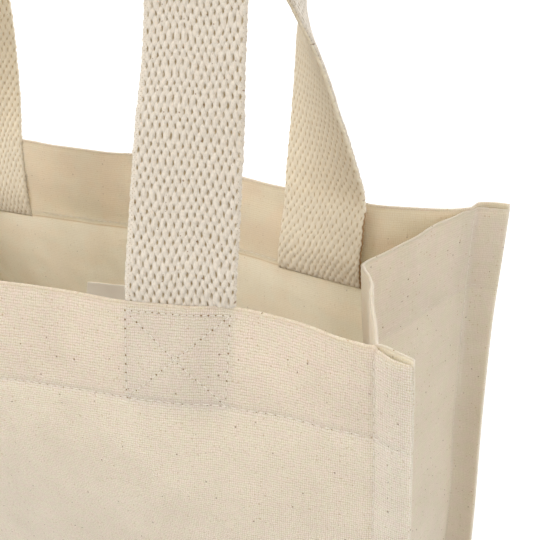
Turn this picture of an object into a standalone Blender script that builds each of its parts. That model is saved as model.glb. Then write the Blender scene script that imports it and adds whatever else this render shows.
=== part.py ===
"""Mini tote bag: canvas panels, folded side gussets, and two webbing handles that swing at the rim.

Metres, +Z up. The origin is the middle of the base's underside. The front panel faces -Y.
Each wall is lofted from plan sections: at every height a line of points for the outer face and
one for the inner face. The handles are webbing swept along an arch, with a quarter turn in it.
"""

import math

import bmesh
import bpy
from mathutils import Vector

# Bag body
WIDTH = 0.272            # from fin edge to fin edge
DEPTH = 0.100            # from front to back over the corners
HEIGHT = 0.240           # from the floor to the rim
CANVAS = 0.0010          # one layer of canvas
HEM_DEPTH = 0.030        # how far the rim is turned down
HEM_THICKNESS = 0.0024   # three layers, pressed flat
HEM_STEP = 0.0020        # height over which the hem's lower edge thins to one layer
FIN = 0.010              # the seam that stands out at each upright corner
CLEARANCE = 0.0003       # between two pieces that lie against each other
CORNER_TURN = 0.0026     # bend of the gusset where it leaves the fin
EDGE_ROUND = 0.0005      # softening of a folded edge

# Set of the cloth: how far each line of the rim lies outside the corner
FRONT_FIN_SET = -0.0018
FRONT_HANDLE_SET = 0.0015
FRONT_MIDDLE_SET = 0.0125
BACK_FIN_SET = -0.0058
BACK_HANDLE_SET = -0.0165
BACK_MIDDLE_SET = -0.0080
SET_START = 0.100        # height at which the rim's set begins to show in the wall

# Belly: the front wall swells out below the rim and the back wall is sunk in
FRONT_BELLY = 0.0085
BACK_BELLY = -0.0075
BELLY_HEIGHT = 0.180     # where the belly is deepest

# Gussets
FOLD_DEPTH = 0.0228      # how far the crease is drawn in at the rim
FOLD_START = 0.015       # height at which the crease begins
CREASE_OFF_MIDDLE = -0.005
CREASE_ROUND = 0.0030
RIM_DIP = 0.0025         # the rim hangs this much lower at the crease

# Webbing handles
WEBBING_WIDTH = 0.032
WEBBING_THICKNESS = 0.0020
FRONT_LEG_INSET = 0.070  # from the fin edge to the middle of a leg
BACK_LEG_INSET = 0.060
DROP = 0.145             # from the rim to the middle of the arch
LEG_STRAIGHT = 0.035     # height of the straight part of a leg
HINGE_RISE = 0.0040      # a loop starts this far above the rim
ARCH_GAP = 0.0020        # between the two arches, which lean together over the mouth
FRONT_LEAN_SHARE = 0.74  # the front arch leans in further than the back one
LEAN_START = 0.008       # height over which the lean begins
FRONT_TWIST = (0.070, 0.140)
BACK_TWIST = (0.004, 0.096)

# Sewn label
LABEL_WIDTH = 0.034
LABEL_HEIGHT = 0.018
LABEL_THICKNESS = 0.0004
LABEL_X = -0.025
LABEL_TOP = 0.064        # below the rim

# Facets
PANEL_COLUMNS = 36
WALL_ROWS = 13
TURN_STEPS = 4
LOOP_STEPS = 46

HALF_WIDTH = WIDTH / 2
STITCH_X = HALF_WIDTH - FIN

COLOURS = {
    "canvas": ((0.72, 0.62, 0.47, 1.0), 0.92),
    "webbing": ((0.68, 0.59, 0.45, 1.0), 0.90),
    "label": ((0.57, 0.47, 0.35, 1.0), 0.75),
}


def smooth(t):
    """Runs from 0 to 1 with level ends."""
    t = min(1.0, max(0.0, t))
    return t * t * (3 - 2 * t)


def through(knots, at):
    """A value on the smooth line through (place, value) knots, level at each of them."""
    for (a, low), (b, high) in zip(knots, knots[1:]):
        if at <= b:
            return low + (high - low) * smooth((at - a) / (b - a))
    return knots[-1][1]


class Wall:
    """One of the two large panels. side is -1 for the front and +1 for the back."""

    def __init__(self, side, fin_set, handle_set, middle_set, belly, leg_inset):
        self.side = side
        self.fin_set = fin_set
        self.handle_set = handle_set
        self.middle_set = middle_set
        self.belly = belly
        self.leg_inset = leg_inset
        self.leg_x = HALF_WIDTH - leg_inset

    def belly_at(self, z):
        """The swelling of the wall at a height: none at the floor and at the rim."""
        if z < BELLY_HEIGHT:
            return self.belly * smooth(z / BELLY_HEIGHT)
        return self.belly * math.cos(math.pi / 2 * (z - BELLY_HEIGHT) / (HEIGHT - BELLY_HEIGHT))

    def reach(self, x, z):
        """How far the outer face lies from the bag's middle plane.

        The fins are straight, and the wall is level along X where a handle is sewn on.
        """
        inset = HALF_WIDTH - abs(x)
        share = smooth((z - SET_START) / (HEIGHT - SET_START))
        belly = self.belly_at(z)
        at_fin = self.fin_set * share
        if inset < FIN:
            return DEPTH / 2 + at_fin * inset / FIN
        at_leg = self.handle_set * share + belly
        level = WEBBING_WIDTH / 2 + 0.001
        return DEPTH / 2 + through([
            (FIN, at_fin),
            (self.leg_inset - level, at_leg),
            (self.leg_inset + level, at_leg),
            (HALF_WIDTH, self.middle_set * share + belly),
        ], inset)

    def outer(self, x, z):
        return self.side * self.reach(x, z)

    def inner(self, x, z, more=0.0):
        """The inner face, or a face that lies more further in."""
        return self.side * (self.reach(x, z) - cloth_thickness(z) - more)


def cloth_thickness(z):
    """One layer of canvas, or the turned hem near the rim."""
    step = smooth((z - (HEIGHT - HEM_DEPTH - HEM_STEP)) / HEM_STEP)
    return CANVAS + (HEM_THICKNESS - CANVAS) * step


def wall_heights():
    """Heights of the plan sections, with a pair at the hem's lower edge and a softened rim."""
    hem = HEIGHT - HEM_DEPTH
    body = [(hem - HEM_STEP) * i / WALL_ROWS for i in range(WALL_ROWS + 1)]
    return body + [hem, hem + HEM_DEPTH / 3, hem + HEM_DEPTH * 2 / 3, HEIGHT - EDGE_ROUND, HEIGHT]


FRONT = Wall(-1, FRONT_FIN_SET, FRONT_HANDLE_SET, FRONT_MIDDLE_SET, FRONT_BELLY, FRONT_LEG_INSET)
BACK = Wall(1, BACK_FIN_SET, BACK_HANDLE_SET, BACK_MIDDLE_SET, BACK_BELLY, BACK_LEG_INSET)


def material(name):
    """The finish of a kind of cloth, made once."""
    found = bpy.data.materials.get(name)
    if found:
        return found
    made = bpy.data.materials.new(name)
    made.use_nodes = True
    shader = made.node_tree.nodes["Principled BSDF"]
    colour, roughness = COLOURS[name]
    shader.inputs["Base Color"].default_value = colour
    shader.inputs["Roughness"].default_value = roughness
    shader.inputs["Metallic"].default_value = 0.0
    return made


def add_object(name, points, faces, finish, parent=None, angle=35):
    """A closed mesh object with its finish, its faces turned to point out."""
    mesh = bpy.data.meshes.new(name)
    mesh.from_pydata([tuple(p) for p in points], [], faces)
    mesh.update()
    shape = bmesh.new()
    shape.from_mesh(mesh)
    bmesh.ops.recalc_face_normals(shape, faces=shape.faces)
    shape.to_mesh(mesh)
    shape.free()
    mesh.shade_smooth()
    mesh.set_sharp_from_angle(angle=math.radians(angle))
    mesh.materials.append(material(finish))
    made = bpy.data.objects.new(name, mesh)
    bpy.context.scene.collection.objects.link(made)
    if parent is not None:
        made.parent = parent
        made.matrix_parent_inverse = parent.matrix_world.inverted()
    return made


def loft(rings, strip_caps):
    """Points and faces of a closed solid through closed rings of equal length.

    With strip_caps each end is closed by a row of quads between the two long sides of its ring,
    and otherwise by one face.
    """
    count = len(rings[0])
    points = [p for ring in rings for p in ring]
    faces = []
    for r in range(len(rings) - 1):
        low, high = r * count, (r + 1) * count
        for i in range(count):
            j = (i + 1) % count
            faces.append((low + i, low + j, high + j, high + i))
    last = (len(rings) - 1) * count
    if strip_caps:
        for i in range(count // 2 - 1):
            a, b, c, d = i, i + 1, count - 2 - i, count - 1 - i
            faces.append((d, c, b, a))
            faces.append((last + a, last + b, last + c, last + d))
    else:
        faces.append(tuple(reversed(range(count))))
        faces.append(tuple(last + i for i in range(count)))
    return points, faces


def squeeze(outer, inner, share):
    """The two lines of a section drawn together towards their middle, for a softened edge."""
    pairs = []
    for a, b in zip(outer, inner):
        middle = (a + b) / 2
        pairs.append((middle + (a - middle) * share, middle + (b - middle) * share))
    return [p[0] for p in pairs], [p[1] for p in pairs]


def wall_solid(name, section, finish):
    """A wall lofted from section(z), which gives its outer and inner lines at a height."""
    rings = []
    for z in wall_heights():
        outer, inner = section(z)
        if z >= HEIGHT:
            outer, inner = squeeze(outer, inner, 0.5)
        rings.append(outer + list(reversed(inner)))
    points, faces = loft(rings, strip_caps=True)
    return add_object(name, points, faces, finish)


def panel_columns():
    """The panel's stations across its width, the outermost two a softened edge apart."""
    inside = HALF_WIDTH - EDGE_ROUND
    steps = [-inside + 2 * inside * i / PANEL_COLUMNS for i in range(PANEL_COLUMNS + 1)]
    marks = [side * at for side in (-1, 1) for at in (STITCH_X, STITCH_X - CORNER_TURN)]
    near = EDGE_ROUND * 4
    steps = [x for x in steps if all(abs(x - m) > near for m in marks)]
    return sorted([-HALF_WIDTH] + steps + marks + [HALF_WIDTH])


def panel_section(wall):
    columns = panel_columns()

    def section(z):
        outer, inner = [], []
        for x in columns:
            thick = cloth_thickness(z)
            soft = 0.25 * thick if abs(x) >= HALF_WIDTH else 0.0
            outer.append(Vector((x, wall.outer(x, z) - wall.side * soft, z)))
            inner.append(Vector((x, wall.inner(x, z) + wall.side * soft, z)))
        return outer, inner

    return section


def rounded_line(points, radii):
    """A plan line through points, each inner corner turned with its own radius."""
    line = [points[0]]
    for i in range(1, len(points) - 1):
        before = (points[i - 1] - points[i]).normalized()
        after = (points[i + 1] - points[i]).normalized()
        half = before.angle(after) / 2
        centre = points[i] + (before + after).normalized() * radii[i - 1] / math.sin(half)
        back = radii[i - 1] / math.tan(half)
        start, end = points[i] + before * back, points[i] + after * back
        first, last = (start - centre).normalized(), (end - centre).normalized()
        for step in range(TURN_STEPS + 1):
            line.append(centre + first.slerp(last, step / TURN_STEPS) * radii[i - 1])
    line.append(points[-1])
    return line


def offset_line(line, by):
    """The plan line moved sideways, to the left of its direction for a positive distance."""
    moved = []
    for i, p in enumerate(line):
        ahead = (line[min(i + 1, len(line) - 1)] - p).normalized() if i < len(line) - 1 else None
        behind = (p - line[i - 1]).normalized() if i else None
        along = [d for d in (ahead, behind) if d is not None]
        direction = sum(along, Vector((0, 0))).normalized()
        stretch = 1.0 if len(along) < 2 else 1 / max(0.5, direction.dot(along[0]))
        moved.append(p + Vector((-direction.y, direction.x)) * by * stretch)
    return moved


def gusset_section(side):
    """Plan sections of the side gusset: a flange in each fin, and a folded web between them."""

    def seat_in(wall, z, thick):
        """How far in from the panel the flange's middle lies, measured along Y on its slope."""
        slope = (wall.reach(HALF_WIDTH, z) - wall.reach(STITCH_X, z)) / FIN
        return (CLEARANCE + thick / 2) * math.hypot(1, slope)

    def section(z):
        thick = cloth_thickness(z)
        front_seat, back_seat = seat_in(FRONT, z, thick), seat_in(BACK, z, thick)
        share = smooth((z - FOLD_START) / (HEIGHT - FOLD_START))
        fold = FOLD_DEPTH * share
        edge = HALF_WIDTH - CLEARANCE
        corners = [
            Vector((edge, FRONT.inner(edge, z, front_seat))),
            Vector((STITCH_X, FRONT.inner(STITCH_X, z, front_seat))),
            Vector((STITCH_X - fold, CREASE_OFF_MIDDLE * share)),
            Vector((STITCH_X, BACK.inner(STITCH_X, z, back_seat))),
            Vector((edge, BACK.inner(edge, z, back_seat))),
        ]
        line = rounded_line(corners, [CORNER_TURN, CREASE_ROUND, CORNER_TURN]) if fold > 1e-5 else None
        if line is None:
            corners[2] = (corners[1] + corners[3]) / 2
            bends = rounded_line([corners[0], corners[1], corners[2]], [CORNER_TURN])[:-1]
            others = rounded_line([corners[2], corners[3], corners[4]], [CORNER_TURN])[1:]
            web = [corners[2] + (bends[-1] - corners[2]) * (1e-3 - step * 5e-4) for step in range(TURN_STEPS + 1)]
            line = bends + web + others
        outer, inner = offset_line(line, -thick / 2), offset_line(line, thick / 2)
        rise = HEIGHT * 0.75
        dip = RIM_DIP * smooth((z - rise) / (HEIGHT - rise))

        def lift(p):
            return Vector((side * p.x, p.y, z - dip * max(0.0, STITCH_X - p.x) / FOLD_DEPTH))

        return [lift(p) for p in outer], [lift(p) for p in inner]

    return section


def base_panel():
    """The bottom panel, which lies between the feet of the four walls."""
    half_x = STITCH_X - CANVAS - CLEARANCE * 2
    half_y = DEPTH / 2 - CANVAS - CLEARANCE
    corner = CORNER_TURN + CANVAS * 2
    rings = []
    for z, inset in ((0.0, EDGE_ROUND / 2), (EDGE_ROUND / 2, 0.0), (CANVAS, 0.0)):
        ring = []
        for quarter, (sx, sy) in enumerate(((1, 1), (-1, 1), (-1, -1), (1, -1))):
            for step in range(TURN_STEPS + 1):
                turn = math.pi / 2 * (quarter + step / TURN_STEPS)
                x = sx * (half_x - corner) + (corner - inset) * math.cos(turn)
                y = sy * (half_y - corner) + (corner - inset) * math.sin(turn)
                ring.append(Vector((x, y, z)))
        rings.append(ring)
    points, faces = loft(rings, strip_caps=False)
    return add_object("base_panel", points, faces, "canvas")


def webbing_ring(centre, across, through_cloth):
    """A section of the webbing, with soft selvedges."""
    half, thick = WEBBING_WIDTH / 2, WEBBING_THICKNESS / 2
    lip = thick * 0.8
    corners = ((half, 0.35), (half - lip, 1.0), (lip - half, 1.0), (-half, 0.35))
    upper = [centre + across * a + through_cloth * thick * b for a, b in corners]
    lower = [centre + across * a - through_cloth * thick * b for a, b in reversed(corners)]
    return upper + lower


def handle_base_y(wall):
    """The middle of the webbing where it lies on the hem's inner face at the rim."""
    return wall.inner(wall.leg_x, HEIGHT, CLEARANCE + WEBBING_THICKNESS / 2)


def sewn_end(name, wall, x):
    """One end of a handle, sewn down over the hem inside the bag."""
    bottom, top = HEIGHT - HEM_DEPTH, HEIGHT + HINGE_RISE - CLEARANCE
    rings = []
    for z in (bottom, bottom + EDGE_ROUND, HEIGHT - HEM_DEPTH / 2, HEIGHT, top):
        y = wall.inner(x, min(z, HEIGHT), CLEARANCE + WEBBING_THICKNESS / 2)
        rings.append(webbing_ring(Vector((x, y, z)), Vector((1, 0, 0)), Vector((0, 1, 0))))
    points, faces = loft(rings, strip_caps=False)
    return add_object(name, points, faces, "webbing")


def arch_lean(wall):
    """How far an arch leans in, so that the two stand ARCH_GAP apart at the top."""
    both = handle_base_y(BACK) - handle_base_y(FRONT) - WEBBING_WIDTH - ARCH_GAP
    return both * (FRONT_LEAN_SHARE if wall is FRONT else 1 - FRONT_LEAN_SHARE)


def arch_point(wall, share):
    """A point on the handle's middle line, from the right leg at 0 to the left leg at 1."""
    rise = DROP - LEG_STRAIGHT
    straight = LEG_STRAIGHT - HINGE_RISE
    quarter = math.pi / 2 * math.sqrt((wall.leg_x ** 2 + rise ** 2) / 2)
    whole = straight + quarter
    along = whole * (1 - abs(1 - 2 * share))
    side = 1 if share <= 0.5 else -1
    if along <= straight:
        x, z = wall.leg_x, HINGE_RISE + along
    else:
        turn = math.pi / 2 * (along - straight) / quarter
        x, z = wall.leg_x * math.cos(turn), LEG_STRAIGHT + rise * math.sin(turn)
    bend = z - HINGE_RISE
    grown = bend * bend / (2 * LEAN_START) if bend < LEAN_START else bend - LEAN_START / 2
    left = 1 - grown / (DROP - HINGE_RISE - LEAN_START / 2)
    lean = arch_lean(wall) * (1 - left * left)
    return Vector((side * x, handle_base_y(wall) - wall.side * lean, HEIGHT + z))


def handle_loop(name, wall, twist, hinge):
    """The free part of a handle: an arch whose legs make a quarter turn on the way up."""
    rings = []
    tiny = 1e-4
    for step in range(LOOP_STEPS + 1):
        share = step / LOOP_STEPS
        centre = arch_point(wall, share)
        along = arch_point(wall, min(1, share + tiny)) - arch_point(wall, max(0, share - tiny))
        along.normalize()
        if step in (0, LOOP_STEPS):
            along = Vector((0, 0, 1 if step == 0 else -1))
        inward = Vector((0, -wall.side, 0))
        inward = (inward - along * inward.dot(along)).normalized()
        outward = inward.cross(along) * -wall.side
        rise = centre.z - HEIGHT
        turn = math.pi / 2 * smooth((rise - twist[0]) / (twist[1] - twist[0]))
        across = outward * math.cos(turn) + inward * math.sin(turn)
        rings.append(webbing_ring(centre, across, along.cross(across)))
    points, faces = loft(rings, strip_caps=False)
    return add_object(name, points, faces, "webbing", parent=hinge)


def hinge_empty(name, wall):
    """The line that a handle swings about: along the rim, in the middle of the hem."""
    empty = bpy.data.objects.new(name, None)
    empty.empty_display_size = 0.02
    empty.location = (0, wall.outer(wall.leg_x, HEIGHT) - wall.side * HEM_THICKNESS / 2, HEIGHT)
    bpy.context.scene.collection.objects.link(empty)
    bpy.context.view_layer.update()
    return empty


def inside_label():
    """A plain label sewn to the inside of the back panel."""
    rings = []
    top = HEIGHT - LABEL_TOP
    count = 6
    for z in (top - LABEL_HEIGHT, top - LABEL_HEIGHT / 2, top):
        outer, inner = [], []
        for i in range(count + 1):
            x = LABEL_X - LABEL_WIDTH / 2 + LABEL_WIDTH * i / count
            outer.append(Vector((x, BACK.inner(x, z, CLEARANCE), z)))
            inner.append(Vector((x, BACK.inner(x, z, CLEARANCE + LABEL_THICKNESS), z)))
        rings.append(outer + list(reversed(inner)))
    points, faces = loft(rings, strip_caps=True)
    return add_object("inside_label", points, faces, "label")


def main():
    for thing in list(bpy.data.objects):
        bpy.data.objects.remove(thing, do_unlink=True)
    wall_solid("front_panel", panel_section(FRONT), "canvas")
    wall_solid("back_panel", panel_section(BACK), "canvas")
    wall_solid("right_gusset", gusset_section(1), "canvas")
    wall_solid("left_gusset", gusset_section(-1), "canvas")
    base_panel()
    inside_label()
    for place, wall, twist in (("front", FRONT, FRONT_TWIST), ("back", BACK, BACK_TWIST)):
        sewn_end(f"{place}_handle_right_end", wall, wall.leg_x)
        sewn_end(f"{place}_handle_left_end", wall, -wall.leg_x)
        handle_loop(f"{place}_handle", wall, twist, hinge_empty(f"{place}_hinge_line", wall))


if __name__ == "__main__":
    main()
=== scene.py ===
"""Mini tote bag in unbleached canvas: walls, folded gussets, sewing and webbing handles.

Metres, +Z up, with the floor at 0 and the front facing -Y. Each wall is one thick cloth over a soft
shape, each handle is one length of woven webbing, and each seam is a row of real stitches with
painted shade for the needle holes between them.
"""

import logging
import math
import random
from dataclasses import dataclass, field
from enum import Enum

import bmesh
import bpy
import numpy as np
from mathutils import Matrix, Vector

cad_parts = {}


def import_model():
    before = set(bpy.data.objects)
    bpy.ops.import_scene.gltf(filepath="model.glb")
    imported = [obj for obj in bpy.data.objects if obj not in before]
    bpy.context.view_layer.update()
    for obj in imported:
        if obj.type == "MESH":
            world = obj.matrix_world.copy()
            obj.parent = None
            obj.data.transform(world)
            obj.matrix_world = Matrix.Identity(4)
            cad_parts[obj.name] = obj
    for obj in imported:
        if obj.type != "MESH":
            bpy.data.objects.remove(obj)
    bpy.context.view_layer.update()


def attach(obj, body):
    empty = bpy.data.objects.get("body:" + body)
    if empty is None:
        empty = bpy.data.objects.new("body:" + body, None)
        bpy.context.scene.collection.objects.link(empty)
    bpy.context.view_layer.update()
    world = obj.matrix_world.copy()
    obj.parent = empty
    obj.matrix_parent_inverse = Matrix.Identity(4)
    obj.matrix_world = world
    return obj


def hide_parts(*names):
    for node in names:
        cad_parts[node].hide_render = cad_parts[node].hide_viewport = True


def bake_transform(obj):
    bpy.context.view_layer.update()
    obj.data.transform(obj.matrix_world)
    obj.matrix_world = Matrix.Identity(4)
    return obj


log = logging.getLogger("tote")

MM = 0.001
WIDTH = 0.272
DEPTH = 0.100
HEIGHT = 0.240
HALF_WIDTH = WIDTH / 2
CLOTH = 0.0008
HEM_DEPTH = 0.0312
HEM_THICKNESS = 0.0015
HEM_EDGE = HEIGHT - HEM_DEPTH
HEM_SEAM = HEIGHT - 0.0290
FIN = 0.0113
STITCH_X = HALF_WIDTH - FIN
SEAM_DENT = 0.0012
BOTTOM_TURN = 0.0035
WEBBING_WIDTH = 0.033
WEBBING_THICKNESS = 0.0020

Input = float | tuple | bpy.types.Node | bpy.types.NodeSocket


class Side(Enum):
    """Which large wall a piece belongs to, with its direction along Y."""

    FRONT = -1
    BACK = 1


class Face(Enum):
    """A face of a wall, with its direction off the cloth."""

    OUTER = 1
    INNER = -1


class Lay(Enum):
    """How one colour is laid on another."""

    OVER = "MIX"
    TIMES = "MULTIPLY"


Layer = tuple[Input, Input, Lay]


def smooth(t: np.ndarray | float) -> np.ndarray:
    """Runs from 0 to 1 with level ends.

    Args:
        t: Where along the step, 0 to 1 inside it.

    Returns:
        The eased value.
    """
    t = np.clip(t, 0.0, 1.0)
    return t * t * (3 - 2 * t)


def bell(away: np.ndarray | float, reach: float) -> np.ndarray:
    """A soft hump, 1 at its middle.

    Args:
        away: The distance from the middle.
        reach: Where it has sunk to about a third.

    Returns:
        Its height.
    """
    return np.exp(-(away / reach) ** 2)


def ripple(a: np.ndarray, b: np.ndarray, size: float, seed: int) -> np.ndarray:
    """A slow, uneven wave over a cloth, from a few crossing swells.

    Args:
        a: Place across the cloth, in metres.
        b: Place along the cloth, in metres.
        size: The usual length of a swell, in metres.
        seed: Picks the swells.

    Returns:
        The wave, from about -1 to 1.
    """
    pick = random.Random(seed)
    total = np.zeros(np.broadcast(a, b).shape)
    for _ in range(6):
        turn, phase = pick.uniform(0, math.tau), pick.uniform(0, math.tau)
        length = size * pick.uniform(0.6, 1.7)
        total += np.sin(math.tau * (a * math.cos(turn) + b * math.sin(turn)) / length + phase)
    return total / 3.2


def length_along(points: np.ndarray) -> np.ndarray:
    """The length of a line up to each of its points.

    Args:
        points: One row for each point.

    Returns:
        Lengths, from 0.
    """
    return np.concatenate([[0], np.cumsum(np.linalg.norm(np.diff(points, axis=0), axis=1))])


def hem_sag(z: np.ndarray | float) -> np.ndarray:
    """How much of the hem seam's droop shows at a height, 1 at the seam and 0 at the rim."""
    return np.interp(z, (0, 0.12, HEIGHT - 0.040, HEIGHT - 0.028, HEIGHT), (0, 0, 1, 1, 0))


def bottom_turn(z: np.ndarray | float) -> np.ndarray:
    """How far a wall's cloth is turned in at a height, along the round of its lower edge."""
    low = np.clip((BOTTOM_TURN - z) / BOTTOM_TURN, 0, 1)
    return BOTTOM_TURN * (1 - np.sqrt(np.clip(1 - low ** 2, 0, 1)))


@dataclass(frozen=True)
class SoftLine:
    """A smooth line through (place, value) knots that never overshoots them."""

    knots: tuple[tuple[float, float], ...]

    @classmethod
    def of_mm(cls, *knots: tuple[float, float]) -> "SoftLine":
        """A line of millimetres at places in millimetres, kept in metres."""
        return cls(tuple((a * MM, b * MM) for a, b in knots))

    @classmethod
    def of_degrees(cls, *knots: tuple[float, float]) -> "SoftLine":
        """A line of degrees at places in millimetres, kept in radians and metres."""
        return cls(tuple((a * MM, math.radians(b)) for a, b in knots))

    def at(self, place: np.ndarray | float) -> np.ndarray:
        """The line's value.

        Args:
            place: Where to read it, clamped to the knots.

        Returns:
            The value at each place.
        """
        x, y = (np.array(v, float) for v in zip(*self.knots))
        step, rise = np.diff(x), np.diff(y)
        slope = rise / step
        lean = np.zeros(len(x))
        for i in range(1, len(x) - 1):
            a, b = slope[i - 1], slope[i]
            lean[i] = 0.0 if a * b <= 0 else 2 * a * b / (a + b)
        place = np.clip(np.asarray(place, float), x[0], x[-1])
        i = np.clip(np.searchsorted(x, place, side="right") - 1, 0, len(step) - 1)
        t = (place - x[i]) / step[i]
        blend = t * t * (3 - 2 * t)
        ends = step[i] * (lean[i] * t * (1 - t) ** 2 - lean[i + 1] * t * t * (1 - t))
        return y[i] * (1 - blend) + y[i + 1] * blend + ends


def linear(code: str) -> tuple[float, float, float, float]:
    """An sRGB hex colour as linear light.

    Args:
        code: Six hex digits.

    Returns:
        Red, green, blue and alpha.
    """
    parts = [int(code[i:i + 2], 16) / 255 for i in (0, 2, 4)]
    light = [c / 12.92 if c <= 0.04045 else ((c + 0.055) / 1.055) ** 2.4 for c in parts]
    return light[0], light[1], light[2], 1.0


def give(socket: bpy.types.NodeSocket, value: Input) -> None:
    """Sets an input, or links it.

    Args:
        socket: The input.
        value: A value, an output socket, or a node whose first output is meant.
    """
    if isinstance(value, bpy.types.Node):
        value = value.outputs[0]
    if isinstance(value, bpy.types.NodeSocket):
        socket.id_data.links.new(value, socket)
    else:
        socket.default_value = value


def node(
    tree: bpy.types.NodeTree, kind: str, inputs: dict | tuple = (), **settings: object
) -> bpy.types.Node:
    """Adds a shader node with its settings and links.

    Args:
        tree: The material's nodes.
        kind: The node's type, without the leading ShaderNode.
        inputs: What each input is given, in order or by name or number.
        settings: Attributes to set on the node.

    Returns:
        The node.
    """
    made = tree.nodes.new("ShaderNode" + kind)
    for name, value in settings.items():
        setattr(made, name, value)
    named = inputs if isinstance(inputs, dict) else dict(enumerate(inputs))
    for name, value in named.items():
        give(made.inputs[name], value)
    return made


@dataclass(frozen=True)
class Finish:
    """What every finish shares: a name, cloth coordinates in millimetres, and laid colours."""

    name: str

    def start(self) -> tuple[bpy.types.NodeTree, bpy.types.Node, bpy.types.Node, bpy.types.Node]:
        """Starts the material.

        Returns:
            Its nodes, its shader, and the place across and along the cloth in millimetres.
        """
        made = bpy.data.materials.new(self.name)
        made.use_nodes = True
        tree = made.node_tree
        place = node(tree, "SeparateXYZ", (node(tree, "UVMap", uv_map="cloth"),))
        across, along = (node(tree, "Math", (place.outputs[i], 1000.0), operation="MULTIPLY") for i in (0, 1))
        return tree, tree.nodes["Principled BSDF"], across, along

    def layered(self, tree: bpy.types.NodeTree, colour: Input, *layers: Layer) -> bpy.types.NodeSocket:
        """Lays colours on one another.

        Args:
            tree: The material's nodes.
            colour: The lowest colour.
            layers: For each, how much of it shows, its colour or tone, and how it is laid.

        Returns:
            The colour on top.
        """
        for share, tint, way in layers:
            laid = node(tree, "Mix", {0: share, 6: colour, 7: tint}, data_type="RGBA", blend_type=way.value)
            colour = laid.outputs[2]
        return colour

    def bits(
        self, tree: bpy.types.NodeTree, spot: Input, scale: float, rare: float, reach: float
    ) -> bpy.types.Node:
        """Where bits of seed husk lie in the cloth.

        Args:
            tree: The material's nodes.
            spot: The place on the cloth in millimetres.
            scale: Cells in a millimetre, each with one bit at most.
            rare: The share of cells without one.
            reach: The largest bit, as a share of its cell.

        Returns:
            1 on a bit, and 0 elsewhere.
        """
        cells = node(tree, "TexVoronoi", {"Vector": spot, "Scale": scale}, voronoi_dimensions="2D")
        chance = node(tree, "SeparateXYZ", (cells.outputs["Color"],))
        size = node(tree, "Math", (chance.outputs[1], reach), operation="MULTIPLY")
        inside = node(tree, "Math", (cells.outputs["Distance"], size), operation="LESS_THAN")
        chosen = node(tree, "Math", (chance.outputs[0], rare), operation="GREATER_THAN")
        return node(tree, "Math", (inside, chosen), operation="MULTIPLY")

    def dress(self, shader: bpy.types.Node, inputs: dict[str, Input]) -> bpy.types.Material:
        """Gives the shader its inputs.

        Args:
            shader: The material's shader.
            inputs: What each input is given, by name.

        Returns:
            The material.
        """
        for name, value in inputs.items():
            give(shader.inputs[name], value)
        return bpy.data.materials[self.name]

    def material(self) -> bpy.types.Material:
        """The finish as a material, built on first use."""
        return bpy.data.materials.get(self.name) or self.build()

    def build(self) -> bpy.types.Material:
        """Makes the material."""
        raise NotImplementedError


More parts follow.
